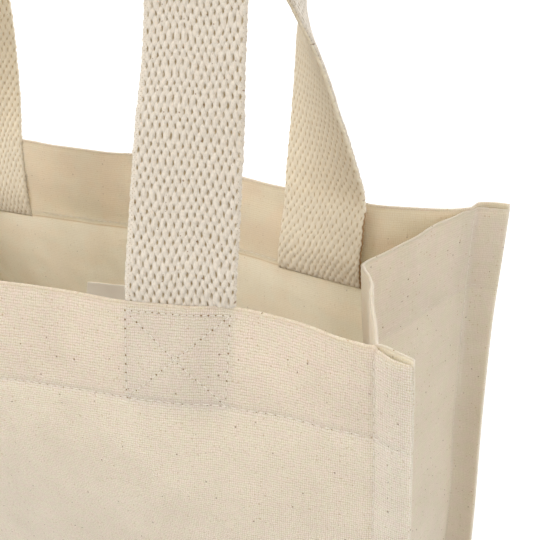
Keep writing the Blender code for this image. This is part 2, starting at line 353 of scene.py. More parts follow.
@dataclass(frozen=True)
class CanvasFinish(Finish):
    """Unbleached cotton canvas straight from the loom: plain weave with slubs and bits of seed husk.

    The thread spacings are the real ones, 43 by 31 to the inch. They give the eye a fine grain up
    close, and the mottle and husks tell from farther off. The pins, speckle and husks values are how
    strongly each of these shows. The worn colour is painted shade along the rim's turned edge, and
    rim_shade_share is how strongly it shows. fold_line is how strongly a painted line of shade shows at
    the hem's lower edge. The hem colour is a painted tint for the light that the hem's double cloth
    keeps back. fin_painted_light is the tone laid over the fins, painted light above 1 and painted shade
    below 1, and passing is how much light comes through.
    """

    thread: str = "F1E8DC"
    gap: str = "D3C6A9"
    slub: str = "EFE6D6"
    rosy: str = "FFF8F6"
    yellow: str = "FDFBF4"
    mottle_mm: float = 3.0
    pins: float = 0.28
    speckle: float = 0.048
    husks: float = 1.0
    pin_gap: str = "B39A6C"
    rim_shade: str = "C9BCA6"
    rim_shade_share: float = 0.60
    fin_painted_light: float = 1.06
    passing: float = 0.75
    hem: str = "FAFAFC"
    fold_line: float = 0.0
    husk: str = "7A5A38"
    tan: str = "B99B70"
    warp_mm: float = 0.59
    weft_mm: float = 0.82
    relief: float = 0.7

    def weave(
        self, tree: bpy.types.NodeTree, across: Input, along: Input, spot: Input
    ) -> tuple[bpy.types.Node, bpy.types.Node]:
        """The threads, a little uneven, which breaks their grid into short runs.

        Args:
            tree: The material's nodes.
            across: Millimetres across the cloth.
            along: Millimetres along the cloth.
            spot: Both as one vector.

        Returns:
            The height of the knuckles where threads cross, and how thick the threads are.
        """
        wander = node(tree, "TexNoise", {"Vector": spot, "Scale": 0.55, "Detail": 2.0}, noise_dimensions="2D")
        centred = node(tree, "Math", (wander, 0.5), operation="SUBTRACT")
        shift = node(tree, "Math", (centred, 0.7), operation="MULTIPLY")
        waves = []
        for place, spacing in ((across, self.warp_mm), (along, self.weft_mm)):
            moved = node(tree, "Math", (place, shift), operation="ADD")
            turned = node(tree, "Math", (moved, math.pi / spacing), operation="MULTIPLY")
            waves.append(node(tree, "Math", (turned,), operation="SINE"))
        crossing = node(tree, "Math", tuple(waves), operation="MULTIPLY")
        height = node(tree, "Math", (crossing,), operation="ABSOLUTE")
        knuckle = node(tree, "Math", (height, 0.5), operation="POWER")
        # Slubs: thick stretches of one thread, a few tenths wide and centimetres long
        slubs = []
        for stretch in ((1 / self.warp_mm, 0.07, 0.0), (0.06, 1 / self.weft_mm, 0.0)):
            drawn = node(tree, "VectorMath", (spot, stretch), operation="MULTIPLY")
            runs = {"Vector": drawn, "Scale": 0.9, "Detail": 1.5}
            slub = node(tree, "TexNoise", runs, noise_dimensions="2D")
            slubs.append(node(tree, "Math", (slub, 0.5), operation="SUBTRACT"))
        return knuckle, node(tree, "Math", tuple(slubs), operation="ADD")

    def yarn_layers(self, tree: bpy.types.NodeTree, spot: Input, knuckle: Input, thick: Input) -> list[Layer]:
        """The colours of the yarn.

        Args:
            tree: The material's nodes.
            spot: The place on the cloth in millimetres.
            knuckle: The height of the knuckles.
            thick: How thick the threads are.

        Returns:
            Layers over the colour of the gaps.
        """
        raised = node(tree, "Math", (knuckle, 0.1), operation="ADD")
        cover = node(tree, "Math", (raised, 1.0), operation="MINIMUM")
        bright = node(tree, "MapRange", (thick, 0.08, 0.40, 0.0, 0.40))
        # Cloudiness over a few centimetres
        cloud = node(tree, "TexNoise", {"Vector": spot, "Scale": 0.045, "Detail": 3.0}, noise_dimensions="2D")
        tone = node(tree, "MapRange", (cloud, 0.35, 0.65, 0.965, 1.02))
        # Pin gaps where four threads part a little more than elsewhere
        loose = node(tree, "TexNoise", {"Vector": spot, "Scale": 1.3, "Detail": 1.0}, noise_dimensions="2D")
        parted = node(tree, "Math", (loose, 0.56), operation="GREATER_THAN")
        between = node(tree, "Math", (knuckle, 0.45), operation="LESS_THAN")
        pin = node(tree, "Math", (parted, between), operation="MULTIPLY")
        shown = node(tree, "Math", (pin, self.pins), operation="MULTIPLY")
        return [
            (cover, linear(self.thread), Lay.OVER),
            (bright, linear(self.slub), Lay.OVER),
            (1.0, tone, Lay.TIMES),
            (shown, linear(self.pin_gap), Lay.OVER),
        ]

    def sewn_layers(self, tree: bpy.types.NodeTree, across: Input, along: Input) -> list[Layer]:
        """The painted light and shade laid over the hem, the fins and the rim.

        Args:
            tree: The material's nodes.
            across: Millimetres across the cloth.
            along: Millimetres along the cloth.

        Returns:
            Layers over the yarn's colour.
        """
        edge = HEM_EDGE / MM
        # A painted tint over the hem stands for the light that its double cloth keeps back, which tells on
        # the inside
        double = node(tree, "MapRange", (along, edge, edge + 1.2), interpolation_type="SMOOTHSTEP")
        tint = self.layered(tree, (1, 1, 1, 1), (double, linear(self.hem), Lay.OVER))
        # Painted shade: a thin line at the hem's lower edge on the inside
        beside = node(tree, "Math", (along, edge + 0.2), operation="SUBTRACT")
        away = node(tree, "Math", (beside,), operation="ABSOLUTE")
        line = node(tree, "MapRange", (away, 0.1, 0.6, self.fold_line, 0.0), interpolation_type="SMOOTHSTEP")
        # Painted light and shade over the fins: a tone above 1 brightens them and one below 1, as on the
        # inside, darkens them
        out = node(tree, "Math", (across,), operation="ABSOLUTE")
        fin = node(tree, "MapRange", (out, STITCH_X / MM, STITCH_X / MM + 0.8, 1.0, self.fin_painted_light))
        # Painted shade along the turned rim, strongest at its top edge
        fold = node(tree, "MapRange", (along, HEIGHT / MM - 1.4, HEIGHT / MM - 0.4, 0.0, self.rim_shade_share))
        return [
            (1.0, tint, Lay.TIMES),
            (line, linear(self.tan), Lay.OVER),
            (1.0, fin, Lay.TIMES),
            (fold, linear(self.rim_shade), Lay.OVER),
        ]

    def mottle_layers(self, tree: bpy.types.NodeTree, spot: Input) -> list[Layer]:
        """The mix of cotton in the yarn: a rosy and yellow mottle, speckled knuckles, and husk.

        Args:
            tree: The material's nodes.
            spot: The place on the cloth in millimetres.

        Returns:
            Layers over the colour so far.
        """
        patches = {"Vector": spot, "Scale": 1 / self.mottle_mm, "Detail": 3.0, "Roughness": 0.6}
        mottle = node(tree, "TexNoise", patches, noise_dimensions="2D")
        hue = node(tree, "MapRange", (mottle, 0.42, 0.58))
        tint = self.layered(tree, linear(self.rosy), (hue, linear(self.yellow), Lay.OVER))
        knots = {"Vector": spot, "Scale": 1.5, "Detail": 3.0, "Roughness": 0.7}
        knot = node(tree, "TexNoise", knots, noise_dimensions="2D")
        tone = node(tree, "MapRange", (knot, 0.35, 0.65, 1 - 1.27 * self.speckle, 1 + 0.73 * self.speckle))
        layers = [(1.0, tint, Lay.TIMES), (1.0, tone, Lay.TIMES)]
        # Sparse dark bits of husk under a millimetre, then more tan ones, then a few large tan ones
        kinds = (
            (0.34, 0.87, 0.105, self.husk, 0.70),
            (0.62, 0.72, 0.19, self.tan, 0.42),
            (0.16, 0.86, 0.06, self.tan, 0.55),
        )
        for scale, rare, reach, tint, strength in kinds:
            chosen = self.bits(tree, spot, scale, rare, reach)
            share = node(tree, "Math", (chosen, strength * self.husks), operation="MULTIPLY")
            layers.append((share, linear(tint), Lay.OVER))
        return layers

    def build(self) -> bpy.types.Material:
        """Makes the material.

        Returns:
            The material.
        """
        tree, shader, across, along = self.start()
        spot = node(tree, "CombineXYZ", (across, along))
        knuckle, thick = self.weave(tree, across, along, spot)
        layers = self.yarn_layers(tree, spot, knuckle, thick)
        layers += self.sewn_layers(tree, across, along)
        layers += self.mottle_layers(tree, spot)
        swell = node(tree, "Math", (thick, 0.5), operation="MULTIPLY")
        height = node(tree, "Math", (knuckle, swell), operation="ADD")
        return self.dress(shader, {
            "Base Color": self.layered(tree, linear(self.gap), *layers),
            "Normal": node(tree, "Bump", {"Height": height, "Strength": self.relief, "Distance": 0.00022}),
            "Roughness": 0.92,
            "Specular IOR Level": 0.25,
            "Sheen Weight": 0.12,
            "Sheen Roughness": 0.5,
            # Light that passes through the cloth warms the inside of the bag
            "Subsurface Weight": self.passing,
            "Subsurface Radius": (0.96, 1.0, 0.93),
            "Subsurface Scale": 0.0024,
        })


@dataclass(frozen=True)
class WebbingFinish(Finish):
    """Heavy woven cotton webbing: fat floats of soft yarn, set like grains, with shaded gaps between.

    The floats repeat each 2.4 mm across and 4.75 mm along, as in a webbing of this weight. The skew
    slants them all one way and the pair value slants them in turns. The seam_shade, patchy and husks
    values are how strongly each of these shows, and passing is how much light comes through. Only the
    outer edge of a sewn end against the hem has places as far out as under_mm, where the crevice
    colour is painted shade for the little light that comes there.
    """

    yarn: str = "DAD0C1"
    gap: str = "9E8962"
    fibre: str = "ECE5DA"
    husk: str = "80603E"
    crevice_shade: str = "A07745"
    float_mm: float = 2.40
    pick_mm: float = 4.75
    grain_width: float = 0.92
    grain_length: float = 2.10
    gap_width: float = 0.33
    gap_length: float = 0.90
    skew: float = 0.0
    pair: float = 0.0
    selvedges: tuple[float, float] = (-14.6, 15.9)
    loop_mm: tuple[float, float] = (1.25, 1.3)
    under_mm: tuple[float, float] = (16.55, 17.0)
    seam_shade: float = 0.86
    patchy: float = 0.12
    husks: float = 0.7
    passing: float = 0.5
    bump: float = 0.65

    def ovals(
        self, tree: bpy.types.NodeTree, across: Input, along: Input, between: bool, size: tuple[float, float]
    ) -> list[bpy.types.Node]:
        """Two interlaced sets of ovals.

        Args:
            tree: The material's nodes.
            across: Millimetres across the webbing.
            along: Millimetres along the webbing.
            between: Whether they lie between the grains or are the grains.
            size: Half the width and half the length of an oval.

        Returns:
            For each set, how far out of its oval a place lies: 0 in the middle, 1 at the edge.
        """
        made = []
        for step in (0.0, 0.5):
            aside = 0.5 - step if between else step
            lean = self.skew if between else self.skew + self.pair * (1 - 4 * step)
            places = []
            for place, part, pitch in ((across, aside, self.float_mm), (along, step, self.pick_mm)):
                moved = node(tree, "Math", (place, part * pitch), operation="ADD")
                places.append(node(tree, "Math", (moved, pitch / 2, -pitch / 2), operation="WRAP"))
            slant = node(tree, "Math", (places[1], lean), operation="MULTIPLY")
            places[0] = node(tree, "Math", (places[0], slant), operation="ADD")
            squares = []
            for place, half in zip(places, size):
                share = node(tree, "Math", (place, half), operation="DIVIDE")
                squares.append(node(tree, "Math", (share, 2.0), operation="POWER"))
            made.append(node(tree, "Math", tuple(squares), operation="ADD"))
        return made

    def weave_layers(
        self, tree: bpy.types.NodeTree, across: Input, along: Input
    ) -> tuple[bpy.types.Node, list[Layer]]:
        """The woven grains, and a plain selvedge along the edges.

        Args:
            tree: The material's nodes.
            across: Millimetres across the webbing.
            along: Millimetres along the webbing.

        Returns:
            The height of the weave, and layers over the colour of the gaps.
        """
        grains = []
        for oval in self.ovals(tree, across, along, False, (self.grain_width, self.grain_length)):
            grains.append(node(tree, "Math", (1.0, oval), operation="SUBTRACT"))
        higher = node(tree, "Math", tuple(grains), operation="MAXIMUM")
        top = node(tree, "Math", (higher, 0.0), operation="MAXIMUM")
        left = node(tree, "Math", (across, self.selvedges[0]), operation="LESS_THAN")
        right = node(tree, "Math", (across, self.selvedges[1]), operation="GREATER_THAN")
        edge = node(tree, "Math", (left, right), operation="MAXIMUM")
        rounded = node(tree, "Math", (top, 0.7), operation="POWER")
        level = node(tree, "Math", (edge, 0.7), operation="MULTIPLY")
        rise = node(tree, "Math", (rounded, level), operation="MAXIMUM")
        hollows = self.ovals(tree, across, along, True, (self.gap_width, self.gap_length))
        nearest = node(tree, "Math", tuple(hollows), operation="MINIMUM")
        closed = node(tree, "Math", (edge, 2.0), operation="MULTIPLY")
        opening = node(tree, "Math", (nearest, closed), operation="ADD")
        face = node(tree, "MapRange", (opening, 0.1, 1.4), interpolation_type="SMOOTHSTEP")
        # A thin line of shade where two grains lie side by side
        step = node(tree, "Math", tuple(grains), operation="SUBTRACT")
        apart = node(tree, "Math", (step,), operation="ABSOLUTE")
        beside = node(tree, "Math", (apart, edge), operation="ADD")
        fade = (beside, 0.0, 0.45, self.seam_shade, 1.0)
        seam = node(tree, "MapRange", fade, interpolation_type="SMOOTHSTEP")
        # Small loops where the weft turns back at the selvedge
        waves = []
        for place, pitch in zip((along, across), self.loop_mm):
            turned = node(tree, "Math", (place, math.tau / pitch), operation="MULTIPLY")
            waves.append(node(tree, "Math", (turned,), operation="SINE"))
        loops = node(tree, "Math", tuple(waves), operation="MULTIPLY")
        loop = node(tree, "Math", (loops, 0.72), operation="GREATER_THAN")
        at_edge = node(tree, "Math", (edge, loop), operation="MULTIPLY")
        shown = node(tree, "Math", (at_edge, 0.6), operation="MULTIPLY")
        return rise, [
            (face, linear(self.yarn), Lay.OVER),
            (1.0, seam, Lay.TIMES),
            (shown, linear(self.gap), Lay.OVER),
        ]

    def yarn_layers(
        self, tree: bpy.types.NodeTree, across: Input, along: Input
    ) -> tuple[bpy.types.Node, list[Layer]]:
        """The soft yarn's plies, patches and bits of husk, and painted shade under a sewn end's edge.

        Args:
            tree: The material's nodes.
            across: Millimetres across the webbing.
            along: Millimetres along the webbing.

        Returns:
            The height of the plies, and layers over the weave's colour.
        """
        spot = node(tree, "CombineXYZ", (across, along))
        patches = {"Vector": spot, "Scale": 0.9, "Detail": 4.0, "Roughness": 0.75}
        patch = node(tree, "TexNoise", patches, noise_dimensions="2D")
        tone = node(tree, "MapRange", (patch, 0.35, 0.65, 1 - self.patchy, 1 + self.patchy / 2))
        # The plies are fine streaks nearly along the webbing
        wide = node(tree, "Math", (across, 4.0), operation="MULTIPLY")
        slant = node(tree, "Math", (along, 1.1), operation="MULTIPLY")
        streak = node(tree, "CombineXYZ", (
            node(tree, "Math", (wide, slant), operation="ADD"),
            node(tree, "Math", (along, 0.5), operation="MULTIPLY"),
        ))
        streaks = {"Vector": streak, "Scale": 0.9, "Detail": 3.0, "Roughness": 0.6}
        plies = node(tree, "TexNoise", streaks, noise_dimensions="2D")
        shine = node(tree, "MapRange", (plies, 0.45, 0.75, 0.0, 0.55))
        chosen = self.bits(tree, spot, 0.42, 0.86, 0.13)
        share = node(tree, "Math", (chosen, self.husks), operation="MULTIPLY")
        # Painted shade where the places lie past the edge, under a sewn end's outer edge
        out = node(tree, "Math", (across,), operation="ABSOLUTE")
        under = node(tree, "MapRange", (out, *self.under_mm, 0.0, 0.9))
        return plies, [
            (1.0, tone, Lay.TIMES),
            (shine, linear(self.fibre), Lay.OVER),
            (share, linear(self.husk), Lay.OVER),
            (under, linear(self.crevice_shade), Lay.OVER),
        ]

    def build(self) -> bpy.types.Material:
        """Makes the material.

        Returns:
            The material.
        """
        tree, shader, across, along = self.start()
        rise, weave = self.weave_layers(tree, across, along)
        plies, yarn = self.yarn_layers(tree, across, along)
        fine = node(tree, "Math", (plies, 0.6), operation="MULTIPLY")
        height = node(tree, "Math", (rise, fine), operation="ADD")
        return self.dress(shader, {
            "Base Color": self.layered(tree, linear(self.gap), *weave, *yarn),
            "Normal": node(tree, "Bump", {"Height": height, "Strength": self.bump, "Distance": 0.0004}),
            "Roughness": 0.95,
            "Specular IOR Level": 0.2,
            "Sheen Weight": 0.15,
            "Subsurface Weight": self.passing,
            "Subsurface Radius": (1.0, 0.96, 0.88),
            "Subsurface Scale": 0.0020,
        })


@dataclass(frozen=True)
class RibbedFinish(Finish):
    """Spun or woven yarn with a fine slanting rib, which gives it small shadows.

    The rib is the twist of a sewing thread, or the twill of a tape. The glow is painted light for
    daylight that comes through from behind.
    """

    colour: str
    rib_mm: float
    shade: float
    roughness: float
    bump: float
    sheen: float = 0.0
    glow: str = "FFFFFF"
    glow_strength: float = 0.0

    def build(self) -> bpy.types.Material:
        """Makes the material.

        Returns:
            The material.
        """
        tree, shader, across, along = self.start()
        slanting = node(tree, "Math", (across, along), operation="ADD")
        turn = node(tree, "Math", (slanting, math.tau / self.rib_mm), operation="MULTIPLY")
        rib = node(tree, "Math", (turn,), operation="SINE")
        shade = node(tree, "MapRange", (rib, -1.0, 1.0, 1 - self.shade))
        return self.dress(shader, {
            "Base Color": self.layered(tree, linear(self.colour), (1.0, shade, Lay.TIMES)),
            "Normal": node(tree, "Bump", {"Height": rib, "Strength": self.bump, "Distance": 0.0001}),
            "Roughness": self.roughness,
            "Sheen Weight": self.sheen,
            "Emission Color": linear(self.glow),
            "Emission Strength": self.glow_strength,
        })


@dataclass(frozen=True)
class NeedleHoleFinish(Finish):
    """Painted shade inside a needle hole, deepest in its middle."""

    rim: str = "A78C68"
    deep: str = "5B432B"

    def build(self) -> bpy.types.Material:
        """Makes the material.

        Returns:
            The material.
        """
        tree, shader, across, _ = self.start()
        share = node(tree, "MapRange", (across,))
        return self.dress(shader, {
            "Base Color": self.layered(tree, linear(self.deep), (share, linear(self.rim), Lay.OVER)),
            "Roughness": 1.0,
            "Specular IOR Level": 0.0,
        })


CANVAS = CanvasFinish("unbleached_canvas", passing=0.62)
# The inner faces' canvas, with a painted line of shade at the hem's lower edge and painted shade over the fin
# tabs
CANVAS_INSIDE = CanvasFinish(
    "unbleached_canvas_inside", thread="F1E6D7", gap="E7D8C2", slub="F4E9D9", hem="F4F5F3", fold_line=0.4,
    fin_painted_light=0.88, rosy="FFFBF7", yellow="FDFDFA", mottle_mm=16.0, pins=0.06, speckle=0.015, husks=0.5,
    relief=0.25,
)
CANVAS_SIDE = CanvasFinish(
    "unbleached_canvas_side", thread="E7DDCE", gap="D9CDB9", rosy="FFFAF7", yellow="FCFBF3", mottle_mm=5.0,
    pins=0.10, speckle=0.025, husks=1.2, relief=0.35, rim_shade="BFB5A6", rim_shade_share=0.85,
)
WEBBING = WebbingFinish("cotton_webbing", pair=0.16)
# A brighter, warmer copy of the same webbing for the back handle's face towards the bag: painted light for
# the warm light inside the bag
LIT_BACK_WEBBING = WebbingFinish(
    "back_cotton_webbing_painted_light", yarn="F7EBD4", gap="D6C19A", fibre="FBF3E3", seam_shade=0.93, passing=0.25,
    skew=-0.10, bump=0.45, selvedges=(-20.0, 20.0), patchy=0.06, husks=0.35,
)
# Cotton sewing thread, a tight twist, a shade paler than the cloth
THREAD = RibbedFinish("cotton_thread", colour="F5ECDD", rib_mm=0.35, shade=0.14, roughness=0.75, bump=0.4)
NEEDLE_HOLE_SHADE = NeedleHoleFinish("needle_hole")
# Plain polyester tape, left blank: a close twill with a faint sheen, and a glow of painted light for the
# daylight that comes through the wall behind it
LABEL = RibbedFinish(
    "woven_label", colour="FFFAEE", rib_mm=0.45, shade=0.07, roughness=0.6, bump=0.25, sheen=0.2,
    glow="FFEFDA", glow_strength=0.09,
)


@dataclass
class Cloth:
    """A mesh in the making: its points, its faces, and each point's place on the flat cloth."""

    points: np.ndarray | list
    faces: np.ndarray | list
    places: np.ndarray | list

    def piece(
        self, name: str, finish: Finish, slot: str, other: tuple[Finish, int, int] | None = None
    ) -> bpy.types.Object:
        """Makes the piece, with its faces turned outward.

        Args:
            name: The piece's name.
            finish: What it is made of.
            slot: The record's material slot; not used.
            other: Another finish for a run of faces, with the run's first face and the one after it.

        Returns:
            The object.
        """
        mesh = bpy.data.meshes.new(name)
        faces = self.faces.tolist() if isinstance(self.faces, np.ndarray) else self.faces
        mesh.from_pydata(np.asarray(self.points, float).tolist(), [], faces)
        mesh.update()
        layer = mesh.uv_layers.new(name="cloth")
        corners = np.empty(len(mesh.loops), np.int32)
        mesh.loops.foreach_get("vertex_index", corners)
        layer.data.foreach_set("uv", np.asarray(self.places, np.float32)[corners].ravel())
        shape = bmesh.new()
        shape.from_mesh(mesh)
        bmesh.ops.recalc_face_normals(shape, faces=shape.faces)
        shape.to_mesh(mesh)
        shape.free()
        mesh.shade_smooth()
        mesh.materials.append(finish.material())
        if other:
            mesh.materials.append(other[0].material())
            face = np.arange(len(mesh.polygons))
            second = ((face >= other[1]) & (face < other[2])).astype(np.int32)
            mesh.polygons.foreach_set("material_index", second)
        made = bpy.data.objects.new(name, mesh)
        bpy.context.scene.collection.objects.link(made)
        log.info("%s: %d points, %d faces", name, len(mesh.vertices), len(mesh.polygons))
        return made


def grid_faces(rows: int, columns: int, first: int) -> np.ndarray:
    """Quads over a grid of points stored row by row.

    Args:
        rows: How many rows.
        columns: How many columns.
        first: The number of its first point.

    Returns:
        Four point numbers for each quad.
    """
    r, c = np.meshgrid(np.arange(rows - 1), np.arange(columns - 1), indexing="ij")
    a = (first + r * columns + c).ravel()
    return np.stack([a, a + 1, a + columns + 1, a + columns], axis=1)


def thick_cloth(outer: np.ndarray, inner: np.ndarray, uv: np.ndarray, turns: int = 4) -> Cloth:
    """A closed cloth between two grids, with its edges rounded.

    Args:
        outer: Rows by columns by 3, the outer face.
        inner: The inner face, on the same grid.
        uv: Rows by columns by 2, places on the flat cloth.
        turns: Points on the round of an edge.

    Returns:
        The cloth, with the outer face first and the inner face after it.
    """
    rows, columns = outer.shape[:2]
    count = rows * columns
    # Once around the edge of the grid
    down, over = np.arange(rows - 1), np.arange(columns - 1)
    r = np.concatenate([over * 0, down, over * 0 + rows - 1, rows - 1 - down])
    c = np.concatenate([over, down * 0 + columns - 1, columns - 1 - over, down * 0])
    within_r, within_c = np.clip(r, 1, rows - 2), np.clip(c, 1, columns - 2)
    middle, half = (outer[r, c] + inner[r, c]) / 2, (outer[r, c] - inner[r, c]) / 2
    size = np.linalg.norm(half, axis=1, keepdims=True)
    across = half / size
    away = middle - (outer[within_r, within_c] + inner[within_r, within_c]) / 2
    away -= across * np.sum(away * across, axis=1, keepdims=True)
    away /= np.linalg.norm(away, axis=1, keepdims=True)
    aside = uv[r, c] - uv[within_r, within_c]
    aside /= np.maximum(np.linalg.norm(aside, axis=1, keepdims=True), 1e-9)
    points = [outer.reshape(-1, 3), inner.reshape(-1, 3)]
    places = [uv.reshape(-1, 2), uv.reshape(-1, 2)]
    rings = [r * columns + c]
    for step in range(1, turns + 1):
        turn = math.pi * step / (turns + 1)
        points.append(middle + half * math.cos(turn) + away * size * math.sin(turn))
        places.append(uv[r, c] + aside * size * min(turn, math.pi - turn))
        rings.append(2 * count + (step - 1) * len(r) + np.arange(len(r)))
    rings.append(count + r * columns + c)
    faces = [grid_faces(rows, columns, 0), grid_faces(rows, columns, count)[:, ::-1]]
    for low, high in zip(rings, rings[1:]):
        faces.append(np.stack([low, high, np.roll(high, -1), np.roll(low, -1)], axis=1))
    return Cloth(np.concatenate(points), np.concatenate(faces), np.concatenate(places))


@dataclass(frozen=True)
class WallShape:
    """The set of one large wall: how its outer face lies from the bag's middle plane.

    The rim lines give how far the rim stands out at a distance from the bag's side, at the right and
    at the left. The flare line gives how far a fin leans out at a height, and the hem_drop line how
    far the hem's seam sags at a place across. The puff, draw and wave values are how far the cloth
    stands out or is drawn in, and the pinch is what the hem's stitches take off its thickness.
    """

    side: Side
    rim: SoftLine
    rim_left: SoftLine
    corner_rise: float
    belly: float
    leg_inset: float
    flare: SoftLine
    hem_drop: SoftLine
    seed: int
    belly_height: float = 0.180
    set_start: float = 0.100
    fin_puff: float = 0.00045
    fin_draw: float = 0.00055
    fin_dent: float = 0.0011
    hem_draw: float = 0.00035
    hem_pinch: float = 0.0003
    wide_wave: float = 0.0008
    small_wave: float = 0.00022
    rim_wave: float = 0.0005
    edge_wave: float = 0.0005

    @property
    def leg_x(self) -> float:
        """The middle of a handle's leg."""
        return HALF_WIDTH - self.leg_inset

    def thickness(self, x: np.ndarray, z: np.ndarray) -> np.ndarray:
        """One layer of canvas, or the turned hem, thinner where a fin is pressed.

        Args:
            x: Place across.
            z: Height.

        Returns:
            The thickness.
        """
        edge = HEM_EDGE + self.edge_wave * ripple(x, x * 0, 0.06, self.seed + 3)
        hem = 0.45 * smooth((z - edge) / 0.0030) + 0.55 * smooth((z - edge) / 0.016)
        fin = 0.2 + 0.8 * smooth((HALF_WIDTH - np.abs(x) - 0.0005) / FIN)
        pinch = self.hem_pinch * bell(z - HEM_SEAM, SEAM_DENT) * fin
        return CLOTH * (0.8 + 0.2 * fin) + (HEM_THICKNESS - CLOTH) * hem * fin - pinch

    def reach(self, x: np.ndarray, z: np.ndarray) -> np.ndarray:
        """How far the outer face lies from the bag's middle plane.

        Args:
            x: Place across.
            z: Height.

        Returns:
            The distance along Y.
        """
        x, z = np.broadcast_arrays(np.asarray(x, float), np.asarray(z, float))
        inset = HALF_WIDTH - np.abs(x)
        share = smooth((z - self.set_start) / (HEIGHT - self.set_start))
        low = smooth(z / self.belly_height)
        above = np.clip((z - self.belly_height) / (HEIGHT - self.belly_height), 0, 1)
        belly = self.belly * np.where(z < self.belly_height, low, np.cos(math.pi / 2 * above))
        across = smooth((inset - 0.004) / (self.leg_inset - 0.021))
        rim = np.where(x < 0, self.rim_left.at(inset), self.rim.at(inset))
        reach = DEPTH / 2 + rim * share + belly * across
        # Lines of sewing draw the cloth in, and it puffs between them
        in_fin = np.sin(math.pi * np.clip(inset / FIN, 0, 1)) ** 2
        reach += self.fin_puff * in_fin - self.fin_draw * bell(inset - FIN, self.fin_dent)
        reach -= self.hem_draw * bell(z - HEM_SEAM, SEAM_DENT) * smooth(inset / 0.006)
        # The cloth is never quite flat: wide waves, and small ones away from the fins
        wide = ripple(x, z, 0.085, self.seed) * smooth(inset / 0.030) * smooth(z / 0.03)
        small = ripple(x, z, 0.016, self.seed + 1) * smooth(inset / 0.012)
        return reach + self.wide_wave * wide + self.small_wave * small

    def spread(self, x: np.ndarray, z: np.ndarray) -> np.ndarray:
        """A place across, moved out or in with the flare of the fin near it.

        Args:
            x: Place across.
            z: Height.

        Returns:
            The moved place across.
        """
        near = smooth((np.abs(x) - STITCH_X + 0.030) / 0.040)
        return x + np.sign(x) * self.flare.at(z) * near

    def sway(self, x: np.ndarray, z: np.ndarray) -> np.ndarray:
        """How much the cloth rises near the rim, where its edge runs a little uneven.

        Args:
            x: Place across.
            z: Height.

        Returns:
            The rise.
        """
        inset = HALF_WIDTH - np.abs(x)
        uneven = self.rim_wave * ripple(x, x * 0, 0.05, self.seed + 5) * smooth(inset / 0.012)
        corner = self.corner_rise * smooth((FIN + 0.0002 - inset) / 0.0006)
        return smooth((z - 0.21) / 0.03) * (uneven + corner)

    def point(self, x: np.ndarray, z: np.ndarray, face: Face, lift: float = 0.0) -> np.ndarray:
        """Points on a face of the wall.

        Args:
            x: Place across, before the fins' flare.
            z: Height.
            face: Which face.
            lift: How far off the face, away from the cloth.

        Returns:
            Points, one row each.
        """
        x, z = np.broadcast_arrays(np.asarray(x, float), np.asarray(z, float))
        y = self.reach(x, z) + lift * face.value - bottom_turn(z)
        if face is Face.INNER:
            y = y - self.thickness(x, z)
        height = z + self.sway(x, z) - self.hem_drop.at(x) * hem_sag(z)
        return np.stack([self.spread(x, z), self.side.value * y, height], axis=-1)


FRONT = WallShape(
    side=Side.FRONT,
    rim=SoftLine.of_mm(
        (0, 0.8), (5, 0.3), (10, -0.9), (22, -1.7), (33, -3.4), (44, -4.1), (54, -3.2), (67, 1.1), (83, 5.0),
        (97, 7.1), (113, 9.8), (134, 13.2),
    ),
    rim_left=SoftLine.of_mm(
        (0, 0.8), (10, -1.0), (24, -1.5), (38, -2.6), (54, -1.8), (69, 2.0), (84, 5.0), (97, 7.1), (113, 9.8),
        (136, 13.2),
    ),
    corner_rise=-0.0008,
    belly=0.0085,
    leg_inset=0.0690,
    flare=SoftLine.of_mm((0, 0), (120, 1.3), (180, 1.6), (205, 0.9), (228, 0.0), (240, -0.5)),
    hem_drop=SoftLine.of_mm((-136, 3.4), (0, 3.4), (38, 2.4), (50.5, 1.8), (83, 0.6), (100, 0), (136, 0)),
    seed=11,
)
BACK = WallShape(
    side=Side.BACK,
    rim=SoftLine.of_mm(
        (0, 2.0), (6, 1.0), (10.7, -0.1), (12.3, -4.6), (27, -12.2), (44, -15.6), (60, -15.4), (80, -13.2),
        (95, -11.2), (136, -6.8),
    ),
    rim_left=SoftLine.of_mm(
        (0, 0.6), (6, 0.6), (10, -0.1), (12.6, -4.0), (27, -9.0), (44, -11.6), (60, -12.2), (73, -11.4),
        (99, -9.6), (136, -6.8),
    ),
    corner_rise=0.0003,
    belly=-0.0075,
    leg_inset=0.0600,
    flare=SoftLine.of_mm((0, 0.3), (84, 0.6), (157, -1.0), (189, -1.3), (220, -0.5), (240, 0)),
    hem_drop=SoftLine.of_mm((-136, 0), (-120, 1.0), (-80, 2.1), (-45, 2.0), (0, 0.9), (50, 0), (136, 0)),
    seed=23,
)


def cloth_heights(turn: int, body: int, fold: float, over: float, upper: int) -> np.ndarray:
    """The heights of a wall's grid: close at the hem's stitching and edge, wider below.

    Args:
        turn: Rows in the turned lower edge.
        body: Rows from there to the hem.
        fold: The spacing at the hem's edge.
        over: Where the rows above the hem's edge start.
        upper: Rows from there to the rim.

    Returns:
        Heights from the floor to just under the rim.
    """
    return np.concatenate([
        BOTTOM_TURN * (1 - np.cos(np.linspace(0.05, math.pi / 2, turn))),
        np.linspace(BOTTOM_TURN, HEM_EDGE - 0.003, body)[1:],
        np.arange(HEM_EDGE - 0.0025, HEM_EDGE + 0.0035, fold),
        np.linspace(HEM_EDGE + over, HEIGHT - HEM_THICKNESS / 2, upper),
    ])


